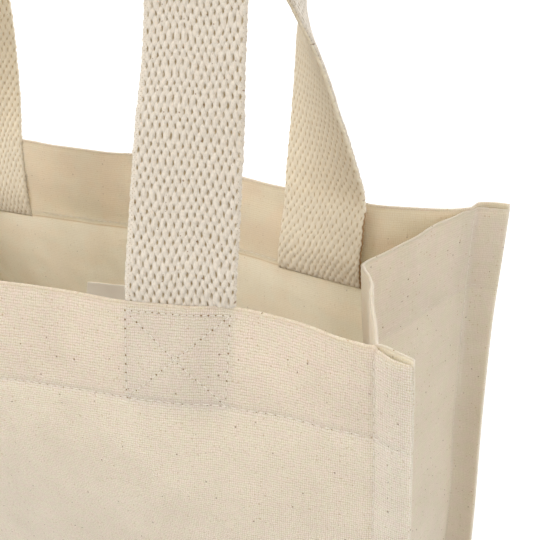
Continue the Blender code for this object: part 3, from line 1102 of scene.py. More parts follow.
@dataclass
class CanvasWall:
    """A large canvas wall with its turned hem and the two fins at its ends."""

    shape: WallShape
    name: str
    node_name: str
    column: float = 0.0010

    def columns(self) -> np.ndarray:
        """The grid's places across, close at the fins.

        Returns:
            Places from the left edge to the right edge.
        """
        inside = np.arange(-STITCH_X + 0.003, STITCH_X - 0.0025, self.column)
        fin = np.linspace(STITCH_X - 0.0025, HALF_WIDTH - 0.0006, 22)
        return np.concatenate([-fin[::-1], inside[1:-1], fin])

    def build(self) -> bpy.types.Object:
        """Lays the wall.

        Returns:
            The wall's object.
        """
        x, z = np.meshgrid(self.columns(), cloth_heights(7, 98, 0.0004, 0.0042, 30))
        outer, inner = (self.shape.point(x, z, face) for face in Face)
        one_face = (x.shape[0] - 1) * (x.shape[1] - 1)
        cloth = thick_cloth(outer, inner, np.stack([x, z], axis=-1))
        made = cloth.piece(self.name, CANVAS, "canvas", (CANVAS_INSIDE, one_face, 2 * one_face))
        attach(made, "bag")
        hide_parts(self.node_name)
        return made


@dataclass
class Gusset:
    """A side wall, creased inward, whose front and back edges lie in the fins.

    The bow line gives how far the cloth bows out at a place from the front fin, 0, over the crease,
    1, to the back fin, 2. In a fin, the gusset lies in from the wall's outer face, by fin_layers of
    the wall's thickness and by seat. Near the rim the two part, by parting at their edge and by up to
    bulge more between there and the stitching.
    """

    way: int
    name: str
    node_name: str
    fold: float = 0.0215
    fold_start: float = 0.015
    crease_y: float = -0.0033
    dip: float = 0.0026
    crease: float = 0.0022
    hem_lower: float = 0.0026
    hem_step: float = 0.0016
    fin_layers: float = 1.45
    seat: float = 0.00012
    parting: float = 0.0003
    bulge: float = 0.0008
    wide_wave: float = 0.0006
    rim_wave: float = 0.0005
    rim_step: float = 0.0009
    hem_draw: float = 0.00012
    bow: SoftLine = SoftLine((
        (0, 0), (0.18, 0.0004), (0.35, 0.0004), (0.60, 0.0011), (0.75, 0.0023), (0.86, 0.0022),
        (0.95, 0.0008), (1.0, 0), (1.10, 0.0008), (1.30, 0.0009), (1.45, 0.0007), (1.60, -0.0002),
        (1.78, -0.0006), (1.90, -0.0007), (2.0, 0),
    ))

    def folded(self, z: float) -> float:
        """How far the side is folded in at a height, 0 at the bottom and 1 at the rim."""
        return float(smooth((z - self.fold_start) / (HEIGHT - self.fold_start)))

    def flange(self, wall: WallShape, z: float) -> np.ndarray:
        """The edge of the cloth that lies in a fin, in plan.

        Args:
            wall: The wall that it is sewn to.
            z: Height.

        Returns:
            Points from the fin's edge to its stitching.
        """
        out = np.linspace(HALF_WIDTH - 0.0006, STITCH_X, 11)
        level = np.full(11, z)
        parted = self.parting + self.bulge * np.sin(math.pi * np.clip((HALF_WIDTH - out) / FIN, 0, 1))
        layers = wall.thickness(out, level) * self.fin_layers
        y = wall.reach(out, level) - layers - self.seat - self.folded(z) ** 8 * parted
        return np.stack([wall.spread(out, level), wall.side.value * (y - bottom_turn(z))], axis=1)

    def line(self, z: float) -> tuple[np.ndarray, np.ndarray]:
        """The middle of the cloth in plan at a height, for the right side.

        Args:
            z: Height.

        Returns:
            Plan points, and each point's place along the cut cloth.
        """
        share = self.folded(z)
        depth = self.fold * share
        front, back = self.flange(FRONT, z), self.flange(BACK, z)[::-1]
        a, b = front[-1], back[0]
        tip = np.array([(a[0] + b[0]) / 2 - depth, self.crease_y * share])
        t = np.linspace(0, 1, 46)
        web = np.concatenate([a + (tip - a) * t[:, None], tip + (b - tip) * t[1:, None]])
        place = np.concatenate([t, 1 + t[1:]])
        web[:, 0] += self.bow.at(place) * smooth((z - 0.12) / 0.10)
        if depth > 1e-4:
            away = np.abs(place - 1) * np.linalg.norm(tip - a)
            web[:, 0] += 0.55 * self.crease * bell(away, self.crease) * min(1.0, depth / 0.006)
        path = np.concatenate([front[:-1], web, back[1:]])
        return path, length_along(path)

    def faces_at(self, z: float) -> tuple[np.ndarray, np.ndarray, np.ndarray]:
        """One row of the gusset, on its own side of the bag.

        Args:
            z: Height.

        Returns:
            The outer row, the inner row and the places on the flat cloth.
        """
        path, place = self.line(z)
        along = np.gradient(path, axis=0)
        along /= np.linalg.norm(along, axis=1, keepdims=True)
        away = np.stack([along[:, 1], -along[:, 0]], axis=1)
        inset = np.clip((HALF_WIDTH - path[:, 0]) / FIN, 0, 1)
        hem = smooth((z - HEM_EDGE) / self.hem_step)
        turned = (HEM_THICKNESS - 0.0003 - CLOTH) * hem * (0.2 + 0.8 * smooth(inset))
        thick = CLOTH * (0.8 + 0.2 * smooth(inset)) + turned
        wave = self.wide_wave * ripple(place, np.full(len(place), z), 0.06, 41 + self.way)
        wave = wave * smooth((inset - 0.9) / 0.1) * smooth(z / 0.03)
        wave = wave - self.hem_draw * bell(z - HEM_SEAM, SEAM_DENT) * smooth(inset)
        middle = path + away * wave[:, None]
        outside = CLOTH * 0.5 + 0.0002
        outer, inner = middle + away * outside, middle - away * (thick - outside)[:, None]
        # The rim sinks towards the crease, runs uneven, and steps down beside the back fin
        sunk = self.dip * float(smooth((z - HEIGHT * 0.75) / (HEIGHT * 0.25)))
        sink = sunk * np.clip(STITCH_X - path[:, 0], 0, None) / self.fold
        near_rim = float(smooth((z - 0.225) / 0.015))
        sway = self.rim_wave * ripple(place, place * 0, 0.022, 61 + self.way) * near_rim
        step = smooth((path[:, 1] - 0.040) / 0.004) * smooth((path[:, 0] - STITCH_X + 0.002) / 0.002)
        height = z - sink + sway - self.rim_step * near_rim * step - self.hem_lower * float(hem_sag(z))
        rows = [np.stack([self.way * row[:, 0], row[:, 1], height], axis=1) for row in (outer, inner)]
        return rows[0], rows[1], np.stack([place, np.full(len(place), z)], axis=1)

    def build(self) -> bpy.types.Object:
        """Lays the gusset.

        Returns:
            The gusset's object.
        """
        rows = [self.faces_at(float(z)) for z in cloth_heights(5, 80, 0.0005, 0.0045, 28)]
        outer, inner, uv = (np.stack([row[i] for row in rows]) for i in range(3))
        one_face = (outer.shape[0] - 1) * (outer.shape[1] - 1)
        cloth = thick_cloth(outer, inner, uv)
        made = cloth.piece(self.name, CANVAS_SIDE, "canvas", (CANVAS_INSIDE, one_face, 2 * one_face))
        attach(made, "bag")
        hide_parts(self.node_name)
        return made


@dataclass
class BaseCloth:
    """The bottom of the bag, a flat cloth with a soft crown."""

    margin: float = 0.0036
    crown: float = 0.0005

    def build(self) -> bpy.types.Object:
        """Lays the base.

        Returns:
            The base's object.
        """
        end, edge = STITCH_X - 0.0005, DEPTH / 2 - self.margin
        x, y = np.meshgrid(np.linspace(-end, end, 90), np.linspace(-edge, edge, 36))
        crown = self.crown * (1 + ripple(x, y, 0.05, 77))
        crown = crown * np.cos(math.pi * x / WIDTH) * np.cos(math.pi * y / DEPTH)
        upper = np.stack([x, y, 0.0011 + crown], axis=-1)
        lower = np.stack([x, y, 0.0001 + crown * 0.8], axis=-1)
        cloth = thick_cloth(upper, lower, np.stack([x, y], axis=-1), turns=2)
        made = cloth.piece("base_cloth", CANVAS, "canvas")
        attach(made, "bag")
        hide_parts("base_panel")
        return made


@dataclass
class Webbing:
    """One handle: a single length of webbing, sewn inside the hem at both ends.

    At a height above the rim, the turn line gives the webbing's turn about its own length, the lean
    line how far it leans into the bag, and the narrowing line how far its legs close in. The rest is
    how it is sewn in: off is how far its ends stand off the wall, shift how far their feet stand
    towards the bag's middle, left_out how far out the left leg stands, and splay how far the foot's
    outer edge is drawn in.
    """

    wall: WallShape
    name: str
    body: str
    nodes: tuple[str, ...]
    turn: SoftLine
    lean: SoftLine
    narrowing: SoftLine
    finish: WebbingFinish = WEBBING
    relief: float = 0.00080
    bead: float = 0.00012
    drop: float = 0.145
    straight: float = 0.080
    edge_round: float = 0.0009
    cut_round: float = 0.0030
    row: float = 0.0007
    wander_across: float = 0.00018
    wander_along: float = 0.00040
    drift: float = 0.0012
    wobble: float = 0.00010
    off: float = 0.0
    shift: float = 0.0
    left_out: float = 0.0
    splay: float = 0.0

    def leg_y(self, x: float, z: np.ndarray) -> np.ndarray:
        """Where the middle of a leg lies against the wall's inner face.

        Args:
            x: The middle of the leg.
            z: Heights along it.

        Returns:
            Places along Y.
        """
        z = np.minimum(np.asarray(z, float), HEIGHT - 0.001)
        x = np.full(z.shape, x)
        off = 0.0001 + self.off * (smooth((z - HEM_EDGE) / 0.010) * 1.6 - 0.6)
        cloth = self.wall.thickness(x, z) if self.wall.side is Side.BACK else HEM_THICKNESS
        return self.wall.side.value * (self.wall.reach(x, z) - cloth - WEBBING_THICKNESS / 2 - off)

    def half_path(self, leg: float, other_leg: float) -> np.ndarray:
        """The webbing's middle line from one sewn end to the top of the arch.

        Args:
            leg: The middle of this leg.
            other_leg: The middle of the other leg.

        Returns:
            Points along it.
        """
        foot = HEM_EDGE - 0.0001 - float(self.wall.hem_drop.at(leg))
        sewn = np.linspace(foot, HEIGHT, 30)[:-1]
        upright = np.linspace(0, self.straight, 30)[:-1]
        arch = np.linspace(0, math.pi / 2, 120)
        round_top = self.straight + (self.drop - self.straight) * np.sin(arch)
        z = np.concatenate([sewn, HEIGHT + upright, HEIGHT + round_top])
        # Over the arch, the line goes from this leg's set to halfway to the other's
        over = smooth(np.concatenate([np.zeros(len(sewn) + len(upright)), arch]) / (math.pi / 2)) / 2
        y = self.leg_y(leg, z) * (1 - over) + self.leg_y(other_leg, z) * over
        y = y - self.wall.side.value * self.lean.at(z - HEIGHT)
        outset = abs(leg) - self.wall.leg_x
        x = np.concatenate([
            abs(leg) - self.shift * smooth((HEIGHT - sewn) / HEM_DEPTH),
            abs(leg) - self.narrowing.at(upright) - outset * smooth(upright / self.straight),
            (self.wall.leg_x - float(self.narrowing.at(self.straight))) * np.cos(arch),
        ])
        return np.stack([x * math.copysign(1.0, leg), y, z], axis=1)

    def path(self) -> np.ndarray:
        """The webbing's middle line from the right end over the arch to the left end, evenly spaced.

        Returns:
            Points along it.
        """
        right, left = self.wall.leg_x, -self.wall.leg_x - self.left_out
        whole = np.concatenate([self.half_path(right, left), self.half_path(left, right)[-2::-1]])
        length = length_along(whole)
        at = np.linspace(0, length[-1], int(length[-1] / self.row))
        points = np.stack([np.interp(at, length, whole[:, i]) for i in range(3)], axis=1)
        for _ in range(12):
            near = points[1:-3] * 2 + points[2:-2] * 2 + points[3:-1] * 2
            points[2:-2] = (points[:-4] + near + points[4:]) / 8
        return points

    def directions(self, points: np.ndarray) -> tuple[np.ndarray, np.ndarray]:
        """The webbing's own directions, turned about its length.

        Args:
            points: The middle line.

        Returns:
            Directions across, and directions off the face towards the wall.
        """
        turn = self.turn.at(points[:, 2] - HEIGHT)
        along = np.gradient(points, axis=0)
        along /= np.linalg.norm(along, axis=1, keepdims=True)
        inward = np.zeros_like(points)
        inward[:, 1] = -self.wall.side.value
        inward -= along * np.sum(inward * along, axis=1, keepdims=True)
        inward /= np.linalg.norm(inward, axis=1, keepdims=True)
        outward = np.cross(inward, along) * -self.wall.side.value
        across = outward * np.cos(turn)[:, None] + inward * np.sin(turn)[:, None]
        return across, np.cross(along, across)

    def section(self) -> np.ndarray:
        """The grid's places across the webbing, close at its rounded edges.

        Returns:
            Places from one edge to the other.
        """
        half = WEBBING_WIDTH / 2
        edge = np.array([0, 0.00015, 0.0005])
        face = np.linspace(-half + self.edge_round, half - self.edge_round, 69)
        return np.concatenate([edge - half, face, half - edge[::-1]])

    def grain(self, across: np.ndarray, along: np.ndarray) -> np.ndarray:
        """The height of the woven face, from the same grains that the finish draws.

        Args:
            across: Places across, in metres.
            along: Places along, in metres.

        Returns:
            Heights from 0 to 1.
        """
        finish = self.finish
        grains = []
        for step in (0.5, 0.0):
            b = ((along / (finish.pick_mm * MM) + step) % 1 - 0.5) * finish.pick_mm
            a = ((across / (finish.float_mm * MM) + step) % 1 - 0.5) * finish.float_mm
            a = a + (finish.skew + finish.pair * (4 * step - 1)) * b
            grains.append(1 - (a / finish.grain_width) ** 2 - (b / finish.grain_length) ** 2)
        return np.clip((np.maximum(*grains) + 0.15) / 1.15, 0, 1) ** 0.6

    def weave(self) -> Cloth:
        """The webbing's surface, open at the two cut ends.

        Returns:
            The cloth. Its rows run around the webbing, the face towards the wall first.
        """
        points = self.path()
        across, face = self.directions(points)
        half, a, s = WEBBING_WIDTH / 2, self.section()[None, :], length_along(points)[:, None]
        out = np.abs(a)
        # The floats wander a little, and the finish reads the same wandering places
        uneven_a = a + self.wander_across * ripple(a, s, 0.006, 5) * (out < half - 0.001)
        drifted = self.drift * ripple(a * 2, s * 0.3, 0.05, 7)
        uneven_s = s + self.wander_along * ripple(a, s, 0.007, 6) + drifted
        grain = np.where(a < self.finish.selvedges[0] * MM, 0.7, self.grain(uneven_a, uneven_s))
        raised = self.relief * (grain - 0.70) * smooth((half - 0.0008 - out) / 0.0008)
        wobble = self.wobble * ripple(a, s, 0.02, 8)
        rounded = (np.clip(out - (half - self.edge_round), 0, None) / self.edge_round) ** 2
        # The cut ends are pressed thin
        end = np.minimum(s, s[-1] - s)
        pressed = 0.12 + 0.88 * np.sqrt(np.clip(end / self.cut_round, 0, 1))
        press = np.sqrt(np.clip(1 - rounded, 0, 1)) * pressed
        upper = (WEBBING_THICKNESS / 2 + raised + wobble) * press
        lower = (WEBBING_THICKNESS / 2 + raised - wobble) * press
        beads = np.cos(math.tau * s / (self.finish.pick_mm * MM) * 2) + ripple(s * 0, s, 0.004, 12)
        beads = np.sign(a) * self.bead * beads * (out > half - 0.0012)
        drawn_in = self.splay * smooth((0.034 - s) / 0.034) * np.clip(-a / half, 0, 1)
        width = a * (1 + 0.008 * ripple(s * 0, s, 0.05, 9)) + beads - drawn_in
        base = points[:, None, :] + across[:, None, :] * width[..., None]
        top, bottom = base + face[:, None, :] * upper[..., None], base - face[:, None, :] * lower[..., None]
        # Painted shade along the outer edge of the back webbing's sewn ends, in deep shade against the hem.
        # Its places on the cloth are moved past the edge, where the finish paints the shade
        shaded = (end < HEM_DEPTH - 0.0012) & (a > half - 0.0028) & (self.wall.side is Side.BACK)
        wallward = np.where(shaded, 2 * half - a + 0.0015, uneven_a)
        past = 1.5 * np.clip(a - half + 0.0006, 0, None) * smooth((HEM_DEPTH - end) / 0.006)
        bagward = uneven_a + np.where(shaded, past, 0)
        uneven_s = np.broadcast_to(uneven_s, wallward.shape)
        places = [np.concatenate([one, other[:, -2:0:-1]], axis=1) for one, other in (
            (wallward, bagward), (uneven_s, uneven_s))]
        ring = np.concatenate([top, bottom[:, -2:0:-1]], axis=1)
        r, c = np.meshgrid(np.arange(ring.shape[0] - 1), np.arange(ring.shape[1]), indexing="ij")
        first, second = r * ring.shape[1] + c, r * ring.shape[1] + (c + 1) % ring.shape[1]
        faces = np.stack([first, second, second + ring.shape[1], first + ring.shape[1]], axis=-1)
        return Cloth(ring, faces, np.stack(places, axis=-1))

    def build(self) -> bpy.types.Object:
        """Weaves the handle and closes its ends.

        Returns:
            The handle's object.
        """
        cloth = self.weave()
        rows, around = cloth.points.shape[:2]
        columns = around // 2 + 1
        caps = []
        for start in (0, (rows - 1) * around):
            for i in range(1, columns - 2):
                caps.append([start + i, start + i + 1, start + around - i - 1, start + around - i])
            caps.append([start, start + 1, start + around - 1])
            caps.append([start + columns - 2, start + columns - 1, start + columns])
        # The face towards the wall comes first, then the face towards the bag, which has its own finish: on
        # the back handle, a brighter, warmer copy of the webbing that is painted light for the light inside
        # the bag
        bands = np.split(cloth.faces, [columns - 1], axis=1)
        wallward, bagward = (band.reshape(-1, 4).tolist() for band in bands)
        faces = wallward + bagward + caps
        whole = Cloth(cloth.points.reshape(-1, 3), faces, cloth.places.reshape(-1, 2))
        made = whole.piece(self.name, WEBBING, "webbing", (self.finish, len(wallward), len(faces)))
        reach = self.wall.reach(np.array(self.wall.leg_x), np.array(HEIGHT)) - HEM_THICKNESS / 2
        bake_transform(made)
        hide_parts(*self.nodes)
        return made


# Along a stitch: the share of its length, its height in half thicknesses of the thread, where None
# stands for the row's own, and its thickness against the thread's
STITCH_STEPS = ((0.06, -1.5, 0.7), (0.18, -0.6, 0.9), (0.5, None, 1.0), (0.82, -0.6, 0.9), (0.94, -1.5, 0.7))


@dataclass
class StitchRow:
    """A row of lockstitch along a line on a face: threads, and needle holes between them.

    The threads' lift off the face is in half thicknesses of the thread, and a hole of 0 stands for
    needle holes that have closed.
    """

    points: np.ndarray
    off: np.ndarray
    pitch: float
    seed: int
    hole: float
    lift: float

    def spots(self) -> tuple[np.ndarray, np.ndarray]:
        """Where the needle went through.

        Returns:
            Points, and directions off the cloth.
        """
        length = length_along(self.points)
        at = np.linspace(0, length[-1], max(1, round(length[-1] / self.pitch)) + 1)
        spots, off = (
            np.stack([np.interp(at, length, values[:, i]) for i in range(3)], axis=1)
            for values in (self.points, self.off))
        return spots, off / np.linalg.norm(off, axis=1, keepdims=True)


@dataclass
class Sewing:
    """All the stitches of one kind, as one piece of thread and one of painted needle-hole shade."""

    name: str
    rows: list[StitchRow] = field(default_factory=list)
    thread: float = 0.00021
    sides: int = 6
    hole_sides: int = 8

    def add(
        self, line: tuple[np.ndarray, np.ndarray], pitch: float, hole: float = 0.00013, lift: float = -0.25
    ) -> None:
        """Adds a row.

        Args:
            line: The points that it follows on the face, and directions off the cloth along it.
            pitch: The stitch length.
            hole: The usual radius of a needle hole; none are left open at 0.
            lift: How high the thread lies off the face, in its own half thicknesses.
        """
        self.rows.append(StitchRow(*line, pitch, len(self.rows), hole, lift))

    def stitch(self, threads: Cloth, ends: np.ndarray, up: np.ndarray, lift: float) -> None:
        """Adds one stitch, which comes up out of the cloth and dips back in.

        Args:
            threads: The threads so far.
            ends: The two points where the needle went through.
            up: The direction off the cloth.
            lift: How high it lies, in half thicknesses of the thread.
        """
        along = ends[1] - ends[0]
        size = np.linalg.norm(along)
        along = along / size
        up = up - along * (up @ along)
        up /= np.linalg.norm(up)
        side = np.cross(along, up)
        start = len(threads.points)
        for t, high, fat in STITCH_STEPS:
            middle = ends[0] + along * size * t + up * self.thread * (lift if high is None else high)
            for turn in np.linspace(0, math.tau, self.sides, endpoint=False):
                round_it = side * math.cos(turn) + up * math.sin(turn) * 0.8
                threads.points.append(middle + round_it * self.thread * fat)
                threads.places.append((turn * 0.00012, size * t))
        last = start + (len(STITCH_STEPS) - 1) * self.sides
        for low in range(start, last, self.sides):
            for j in range(self.sides):
                n = (j + 1) % self.sides
                threads.faces.append([low + j, low + n, low + self.sides + n, low + self.sides + j])
        threads.faces.append([start + j for j in reversed(range(self.sides))])
        threads.faces.append([last + j for j in range(self.sides)])

    def needle_hole(self, holes: Cloth, spot: np.ndarray, off: np.ndarray, radius: float) -> None:
        """Adds the painted shade of one needle hole, a dark disc just off the face.

        Args:
            holes: The holes so far.
            spot: Its middle.
            off: The direction off the cloth.
            radius: Its radius.
        """
        side = np.cross(off, (0.3, 0.2, 0.9))
        side /= np.linalg.norm(side)
        other = np.cross(off, side)
        start = len(holes.points)
        holes.points.append(spot + off * 0.00008)
        holes.places.append((0.0, 0.0))
        for turn in np.linspace(0, math.tau, self.hole_sides, endpoint=False):
            out = side * math.cos(turn) + other * math.sin(turn)
            holes.points.append(spot + off * 0.00010 + out * radius)
            holes.places.append((0.001, 0.0))
        for j in range(self.hole_sides):
            holes.faces.append([start, start + 1 + j, start + 1 + (j + 1) % self.hole_sides])

    def build(self) -> None:
        """Makes the threads and the painted shade of the needle holes."""
        threads, holes = Cloth([], [], []), Cloth([], [], [])
        for row in self.rows:
            pick = random.Random(row.seed)
            spots, off = row.spots()
            for i in range(len(spots) - 1):
                self.stitch(threads, spots[i:i + 2], off[i] + off[i + 1], row.lift * pick.uniform(0.8, 1.2))
            if row.hole:
                for spot, way in zip(spots, off):
                    self.needle_hole(holes, spot, way, row.hole * pick.choice((0.6, 0.8, 1.0, 1.1, 1.3)))
        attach(threads.piece(self.name + "_thread", THREAD, "canvas"), "bag")
        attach(holes.piece(self.name + "_needle_hole_shade", NEEDLE_HOLE_SHADE, "canvas"), "bag")


@dataclass
class Seams:
    """Where each seam of the bag runs."""

    gussets: tuple[Gusset, ...]
    hem_pitch: float = 0.0028
    fin_pitch: float = 0.0029
    box_row: float = 0.0021
    box_side: float = 0.00275
    box_cross: float = 0.0023
    box_inset: float = 0.0017
    box_top: float = HEIGHT - 0.0024
    fin_bottom: float = 0.004
    fin_top: float = HEIGHT - 0.0035
    fin_hole: float = 0.00008
    box_hole: float = 0.00022
    end_margin: float = 0.0012
    spacing: float = 0.0007

    def on_wall(
        self, wall: WallShape, face: Face, start: tuple[float, float], end: tuple[float, float]
    ) -> tuple[np.ndarray, np.ndarray]:
        """A straight line on a wall's face.

        Args:
            wall: The wall.
            face: Which face.
            start: One end, as place across and height.
            end: The other end.

        Returns:
            Points along it, and directions off the face.
        """
        count = max(2, int(math.dist(start, end) / self.spacing))
        x, z = (np.linspace(a, b, count) for a, b in zip(start, end))
        step = 0.0006
        dx = wall.point(x + step, z, face) - wall.point(x - step, z, face)
        dz = wall.point(x, z + step, face) - wall.point(x, z - step, face)
        off = np.cross(dx, dz)
        off /= np.linalg.norm(off, axis=1, keepdims=True)
        way = wall.side.value * face.value
        return wall.point(x, z, face), off * (1 if off[0, 1] * way > 0 else -1)

    def sew_hem(self, wall: WallShape, hems: Sewing) -> None:
        """Sews a wall's hem. Inside the bag, the row is hidden under the webbing's ends.

        Args:
            wall: The wall.
            hems: The hem stitching so far.
        """
        end = HALF_WIDTH - self.end_margin
        hems.add(self.on_wall(wall, Face.OUTER, (-end, HEM_SEAM), (end, HEM_SEAM)), self.hem_pitch)
        end, leg, half = STITCH_X - 0.003, wall.leg_x, WEBBING_WIDTH / 2
        for low, high in ((-end, -leg - half), (-leg + half, leg - half), (leg + half, end)):
            line = self.on_wall(wall, Face.INNER, (low, HEM_SEAM), (high, HEM_SEAM))
            hems.add(line, self.hem_pitch, 0.0, 0.15)

    def sew_corner(self, wall: WallShape, way: int, fins: Sewing) -> None:
        """Sews a wall's side of a corner seam.

        Args:
            wall: The wall.
            way: 1 at the right and -1 at the left.
            fins: The corner stitching so far.
        """
        x = way * STITCH_X
        line = self.on_wall(wall, Face.OUTER, (x, self.fin_bottom), (x, self.fin_top))
        fins.add(line, self.fin_pitch, self.fin_hole)

    def sew_box(self, wall: WallShape, way: int, boxes: Sewing) -> None:
        """Sews the box and cross that hold a webbing's end. The hem's seam is the box's lower side.

        Args:
            wall: The wall.
            way: 1 at the right and -1 at the left.
            boxes: The boxes so far.
        """
        reach = WEBBING_WIDTH / 2 - self.box_inset
        left, right = way * wall.leg_x - reach, way * wall.leg_x + reach
        low, high = HEM_SEAM, self.box_top
        for start, end, pitch in (
            ((left, high), (right, high), self.box_row),
            ((left, low), (left, high), self.box_side),
            ((right, low), (right, high), self.box_side),
            ((left, low), (right, high), self.box_cross),
            ((left, high), (right, low), self.box_cross),
        ):
            boxes.add(self.on_wall(wall, Face.OUTER, start, end), pitch, self.box_hole, -0.45)

    def sew_gusset(self, gusset: Gusset, hems: Sewing, fins: Sewing) -> None:
        """Sews a gusset's hem and its side of the corner seams.

        Args:
            gusset: The gusset.
            hems: The hem stitching so far.
            fins: The corner stitching so far.
        """
        outer, inner, _ = gusset.faces_at(HEM_SEAM)
        for row, way in ((outer[1:-1], 1), (inner[12:-12], -1)):
            off = np.cross(np.gradient(row, axis=0), (0, 0, 1.0)) * gusset.way * way
            hems.add((row, off), self.hem_pitch, 0.0, -0.75)
        heights = np.linspace(self.fin_bottom, self.fin_top, 60)
        for end, way in ((10, 1.0), (-11, -1.0)):
            column = np.array([gusset.faces_at(float(z))[0][end] for z in heights])
            fins.add((column, np.tile([0.0, way, 0.0], (60, 1))), self.fin_pitch, 0.0, -1.1)

    def build(self) -> None:
        """Sews every seam."""
        hems, fins, boxes = Sewing("hem_stitching"), Sewing("fin_stitching"), Sewing("handle_stitching")
        for wall in (FRONT, BACK):
            self.sew_hem(wall, hems)
            for way in (-1, 1):
                self.sew_corner(wall, way, fins)
                self.sew_box(wall, way, boxes)
        for gusset in self.gussets:
            self.sew_gusset(gusset, hems, fins)
        for sewing in (hems, fins, boxes):
            sewing.build()


@dataclass
class Label:
    """A small blank woven label, sewn inside the back wall along its top edge, a little askew."""

    width: float = 0.034
    height: float = 0.018
    thickness: float = 0.00028
    x: float = -0.025
    top: float = 0.0605
    slope: float = 0.09
    slant: float = 0.315

    def build(self) -> bpy.types.Object:
        """Lays the label.

        Returns:
            The label's object.
        """
        upper = HEIGHT - self.top
        x, z = np.meshgrid(
            np.linspace(self.x - self.width / 2, self.x + self.width / 2, 44),
            np.linspace(upper - self.height, upper, 26))
        curl = 0.0008 * smooth((upper - z) / self.height) * (1 + 0.5 * np.sin(x * 260))
        near = BACK.point(x + (z - upper) * self.slant, z + (x - self.x) * self.slope, Face.INNER, 0.0004)
        near[..., 1] -= curl
        far = near + (0, self.thickness, 0)
        cloth = thick_cloth(near, far, np.stack([x, z], axis=-1), turns=2)
        made = cloth.piece("inside_label_cloth", LABEL, "label")
        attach(made, "bag")
        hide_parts("inside_label")
        return made


@dataclass(frozen=True)
class Lamp:
    """A round soft lamp that points at the bag: its place, its size and its power in watts."""

    name: str
    place: tuple[float, float, float]
    size: float
    power: float

    def build(self) -> None:
        """Puts up the lamp."""
        lamp = bpy.data.lights.new(self.name, "AREA")
        lamp.shape = "DISK"
        lamp.size = self.size
        lamp.energy = self.power
        made = bpy.data.objects.new(self.name, lamp)
        made.location = self.place
        made.visible_camera = False
        aim = Vector((0, 0, 0.18)) - Vector(self.place)
        made.rotation_euler = aim.to_track_quat("-Z", "Y").to_euler()
        bpy.context.scene.collection.objects.link(made)


@dataclass
class Studio:
    """A pale floor, soft lamps, and a camera at the front right, above the rim."""

    camera_place: tuple[float, float, float] = (0.1838, -0.2158, 0.3607)
    azimuth: float = math.radians(27.85)
    elevation: float = math.radians(28.92)
    roll: float = math.radians(-2.04)
    focal_px: float = 838.5
    frame_px: float = 540.0
    sensor_mm: float = 36.0
    floor_size: float = 6.0
    floor_depth: float = 0.0002
    floor_glow: float = 0.60
    lamps: tuple[Lamp, ...] = (
        Lamp("key", (-0.95, -1.35, 1.85), 1.2, 20.0),
        Lamp("fill", (1.7, -0.7, 1.0), 1.2, 3.4),
        Lamp("behind", (0.1, 1.9, 0.75), 1.6, 21.0),
    )

    def camera(self) -> None:
        """Places the camera."""
        ahead = Vector((-math.sin(self.azimuth), math.cos(self.azimuth), 0.0))
        forward = ahead * math.cos(self.elevation) - Vector((0.0, 0.0, math.sin(self.elevation)))
        right = Vector((math.cos(self.azimuth), math.sin(self.azimuth), 0.0))
        up = right.cross(forward)
        turned = right * math.cos(self.roll) + up * math.sin(self.roll)
        raised = up * math.cos(self.roll) - right * math.sin(self.roll)
        lens = bpy.data.cameras.new("camera")
        lens.sensor_width = self.sensor_mm
        lens.lens = self.sensor_mm * self.focal_px / self.frame_px
        lens.clip_start = 0.01
        seen = bpy.data.objects.new("camera", lens)
        basis = Matrix((turned, raised, -forward)).transposed().to_4x4()
        seen.matrix_world = Matrix.Translation(self.camera_place) @ basis
        bpy.context.scene.collection.objects.link(seen)
        bpy.context.scene.camera = seen

    def floor(self) -> None:
        """Lays the floor: matt white paper, which the camera sees as white where no shadow lies."""
        mesh = bpy.data.meshes.new("floor")
        signs = ((-1, -1), (1, -1), (1, 1), (-1, 1))
        corners = [(a * self.floor_size, b * self.floor_size, -self.floor_depth) for a, b in signs]
        mesh.from_pydata(corners, [], [(0, 1, 2, 3)])
        made = bpy.data.objects.new("floor", mesh)
        paper = bpy.data.materials.new("studio_paper")
        paper.use_nodes = True
        tree = paper.node_tree
        tree.nodes.clear()
        grain = node(tree, "TexNoise", {"Scale": 40.0, "Detail": 2.0})
        grey = {0: grain, 6: linear("B4B2AE"), 7: linear("BAB8B5")}
        tint = node(tree, "Mix", grey, data_type="RGBA").outputs[2]
        matt = node(tree, "BsdfDiffuse", {"Color": tint})
        glow = node(tree, "Emission", {"Color": (1, 1, 1, 1), "Strength": self.floor_glow})
        both = node(tree, "AddShader", (matt, glow))
        seen = node(tree, "LightPath").outputs["Is Camera Ray"]
        choice = node(tree, "MixShader", (seen, matt, both))
        node(tree, "OutputMaterial", {"Surface": choice}).is_active_output = True
        mesh.materials.append(paper)
        bpy.context.scene.collection.objects.link(made)

    def world(self) -> None:
        """Lights the room evenly, and shows plain white where the camera sees past the floor."""
        world = bpy.data.worlds.new("studio")
        bpy.context.scene.world = world
        world.use_nodes = True
        tree = world.node_tree
        tree.nodes.clear()
        rays = node(tree, "LightPath").outputs
        bent = (rays["Is Glossy Ray"], rays["Is Transmission Ray"])
        mirrored = node(tree, "Math", bent, operation="MAXIMUM")
        straight = node(tree, "Math", (rays["Is Camera Ray"], mirrored), operation="MAXIMUM")
        room = node(tree, "Background", {"Color": (1.0, 0.99, 0.975, 1), "Strength": 0.95})
        white = node(tree, "Background", {"Color": (1, 1, 1, 1), "Strength": 1.0})
        node(tree, "OutputWorld", {"Surface": node(tree, "MixShader", (straight, room, white))})

    def build(self) -> None:
        """Sets up the whole studio."""
        bpy.context.scene.view_settings.view_transform = "Standard"
        self.camera()
        self.floor()
        self.world()
        for lamp in self.lamps:
            lamp.build()


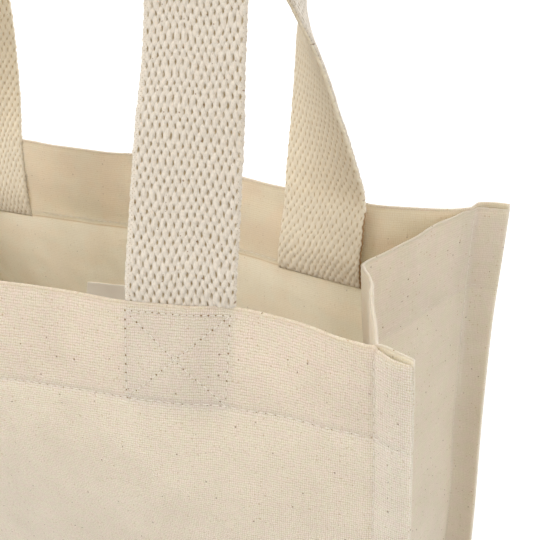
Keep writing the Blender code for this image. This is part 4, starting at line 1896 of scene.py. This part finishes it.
def handles() -> tuple[Webbing, Webbing]:
    """The two handles, each set as it stands by itself.

    Returns:
        The front handle and the back handle.
    """
    front = Webbing(
        FRONT, "front_webbing", "front_loop",
        ("front_handle", "front_handle_right_end", "front_handle_left_end"),
        turn=SoftLine.of_degrees(
            (-30, 14), (0, 14), (18, 11), (42, 6.5), (58, 0.5), (72, -0.8), (90, -1.2), (108, 31), (128, 70),
            (145, 88),
        ),
        lean=SoftLine.of_mm(
            (-30, 0), (0, 0), (18, 6.4), (36, 13.1), (54, 19.9), (72, 26.8), (90, 32.4), (110, 35.4),
            (128, 35.0), (145, 34.4),
        ),
        narrowing=SoftLine.of_mm((0, 0), (18, 1.4), (36, 2.7), (54, 4.0), (72, 5.5), (80, 6.2)),
    )
    back = Webbing(
        BACK, "back_webbing", "back_loop",
        ("back_handle", "back_handle_right_end", "back_handle_left_end"),
        turn=SoftLine.of_degrees(
            (-31.5, 4.5), (-17, 7.6), (0, 8.2), (18, 24), (36, 40), (54, 54), (72, 74), (90, 98), (110, 104),
            (128, 96), (145, 90),
        ),
        lean=SoftLine.of_mm(
            (-30, 0), (0, 0), (18, 1.5), (36, 3.3), (54, 5.2), (72, 7.6), (90, 10.1), (110, 12.0),
            (145, 12.8),
        ),
        narrowing=SoftLine.of_mm((0, 0), (18, 0.5), (36, 1.6), (54, 3.0), (72, 5.0), (80, 6.2)),
        finish=LIT_BACK_WEBBING, relief=0.00036, bead=0.00016,
        off=0.0005, shift=0.0010, left_out=0.0062, splay=0.0012,
    )
    return front, back


def main() -> None:
    """Builds the bag and the studio."""
    logging.basicConfig(level=logging.INFO, format="%(message)s")
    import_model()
    Studio().build()
    CanvasWall(FRONT, "front_wall", "front_panel").build()
    CanvasWall(BACK, "back_wall", "back_panel").build()
    gussets = (Gusset(1, "right_side", "right_gusset"), Gusset(-1, "left_side", "left_gusset"))
    for gusset in gussets:
        gusset.build()
    BaseCloth().build()
    Label().build()
    for handle in handles():
        handle.build()
    Seams(gussets).build()


if __name__ == "__main__":
    main()
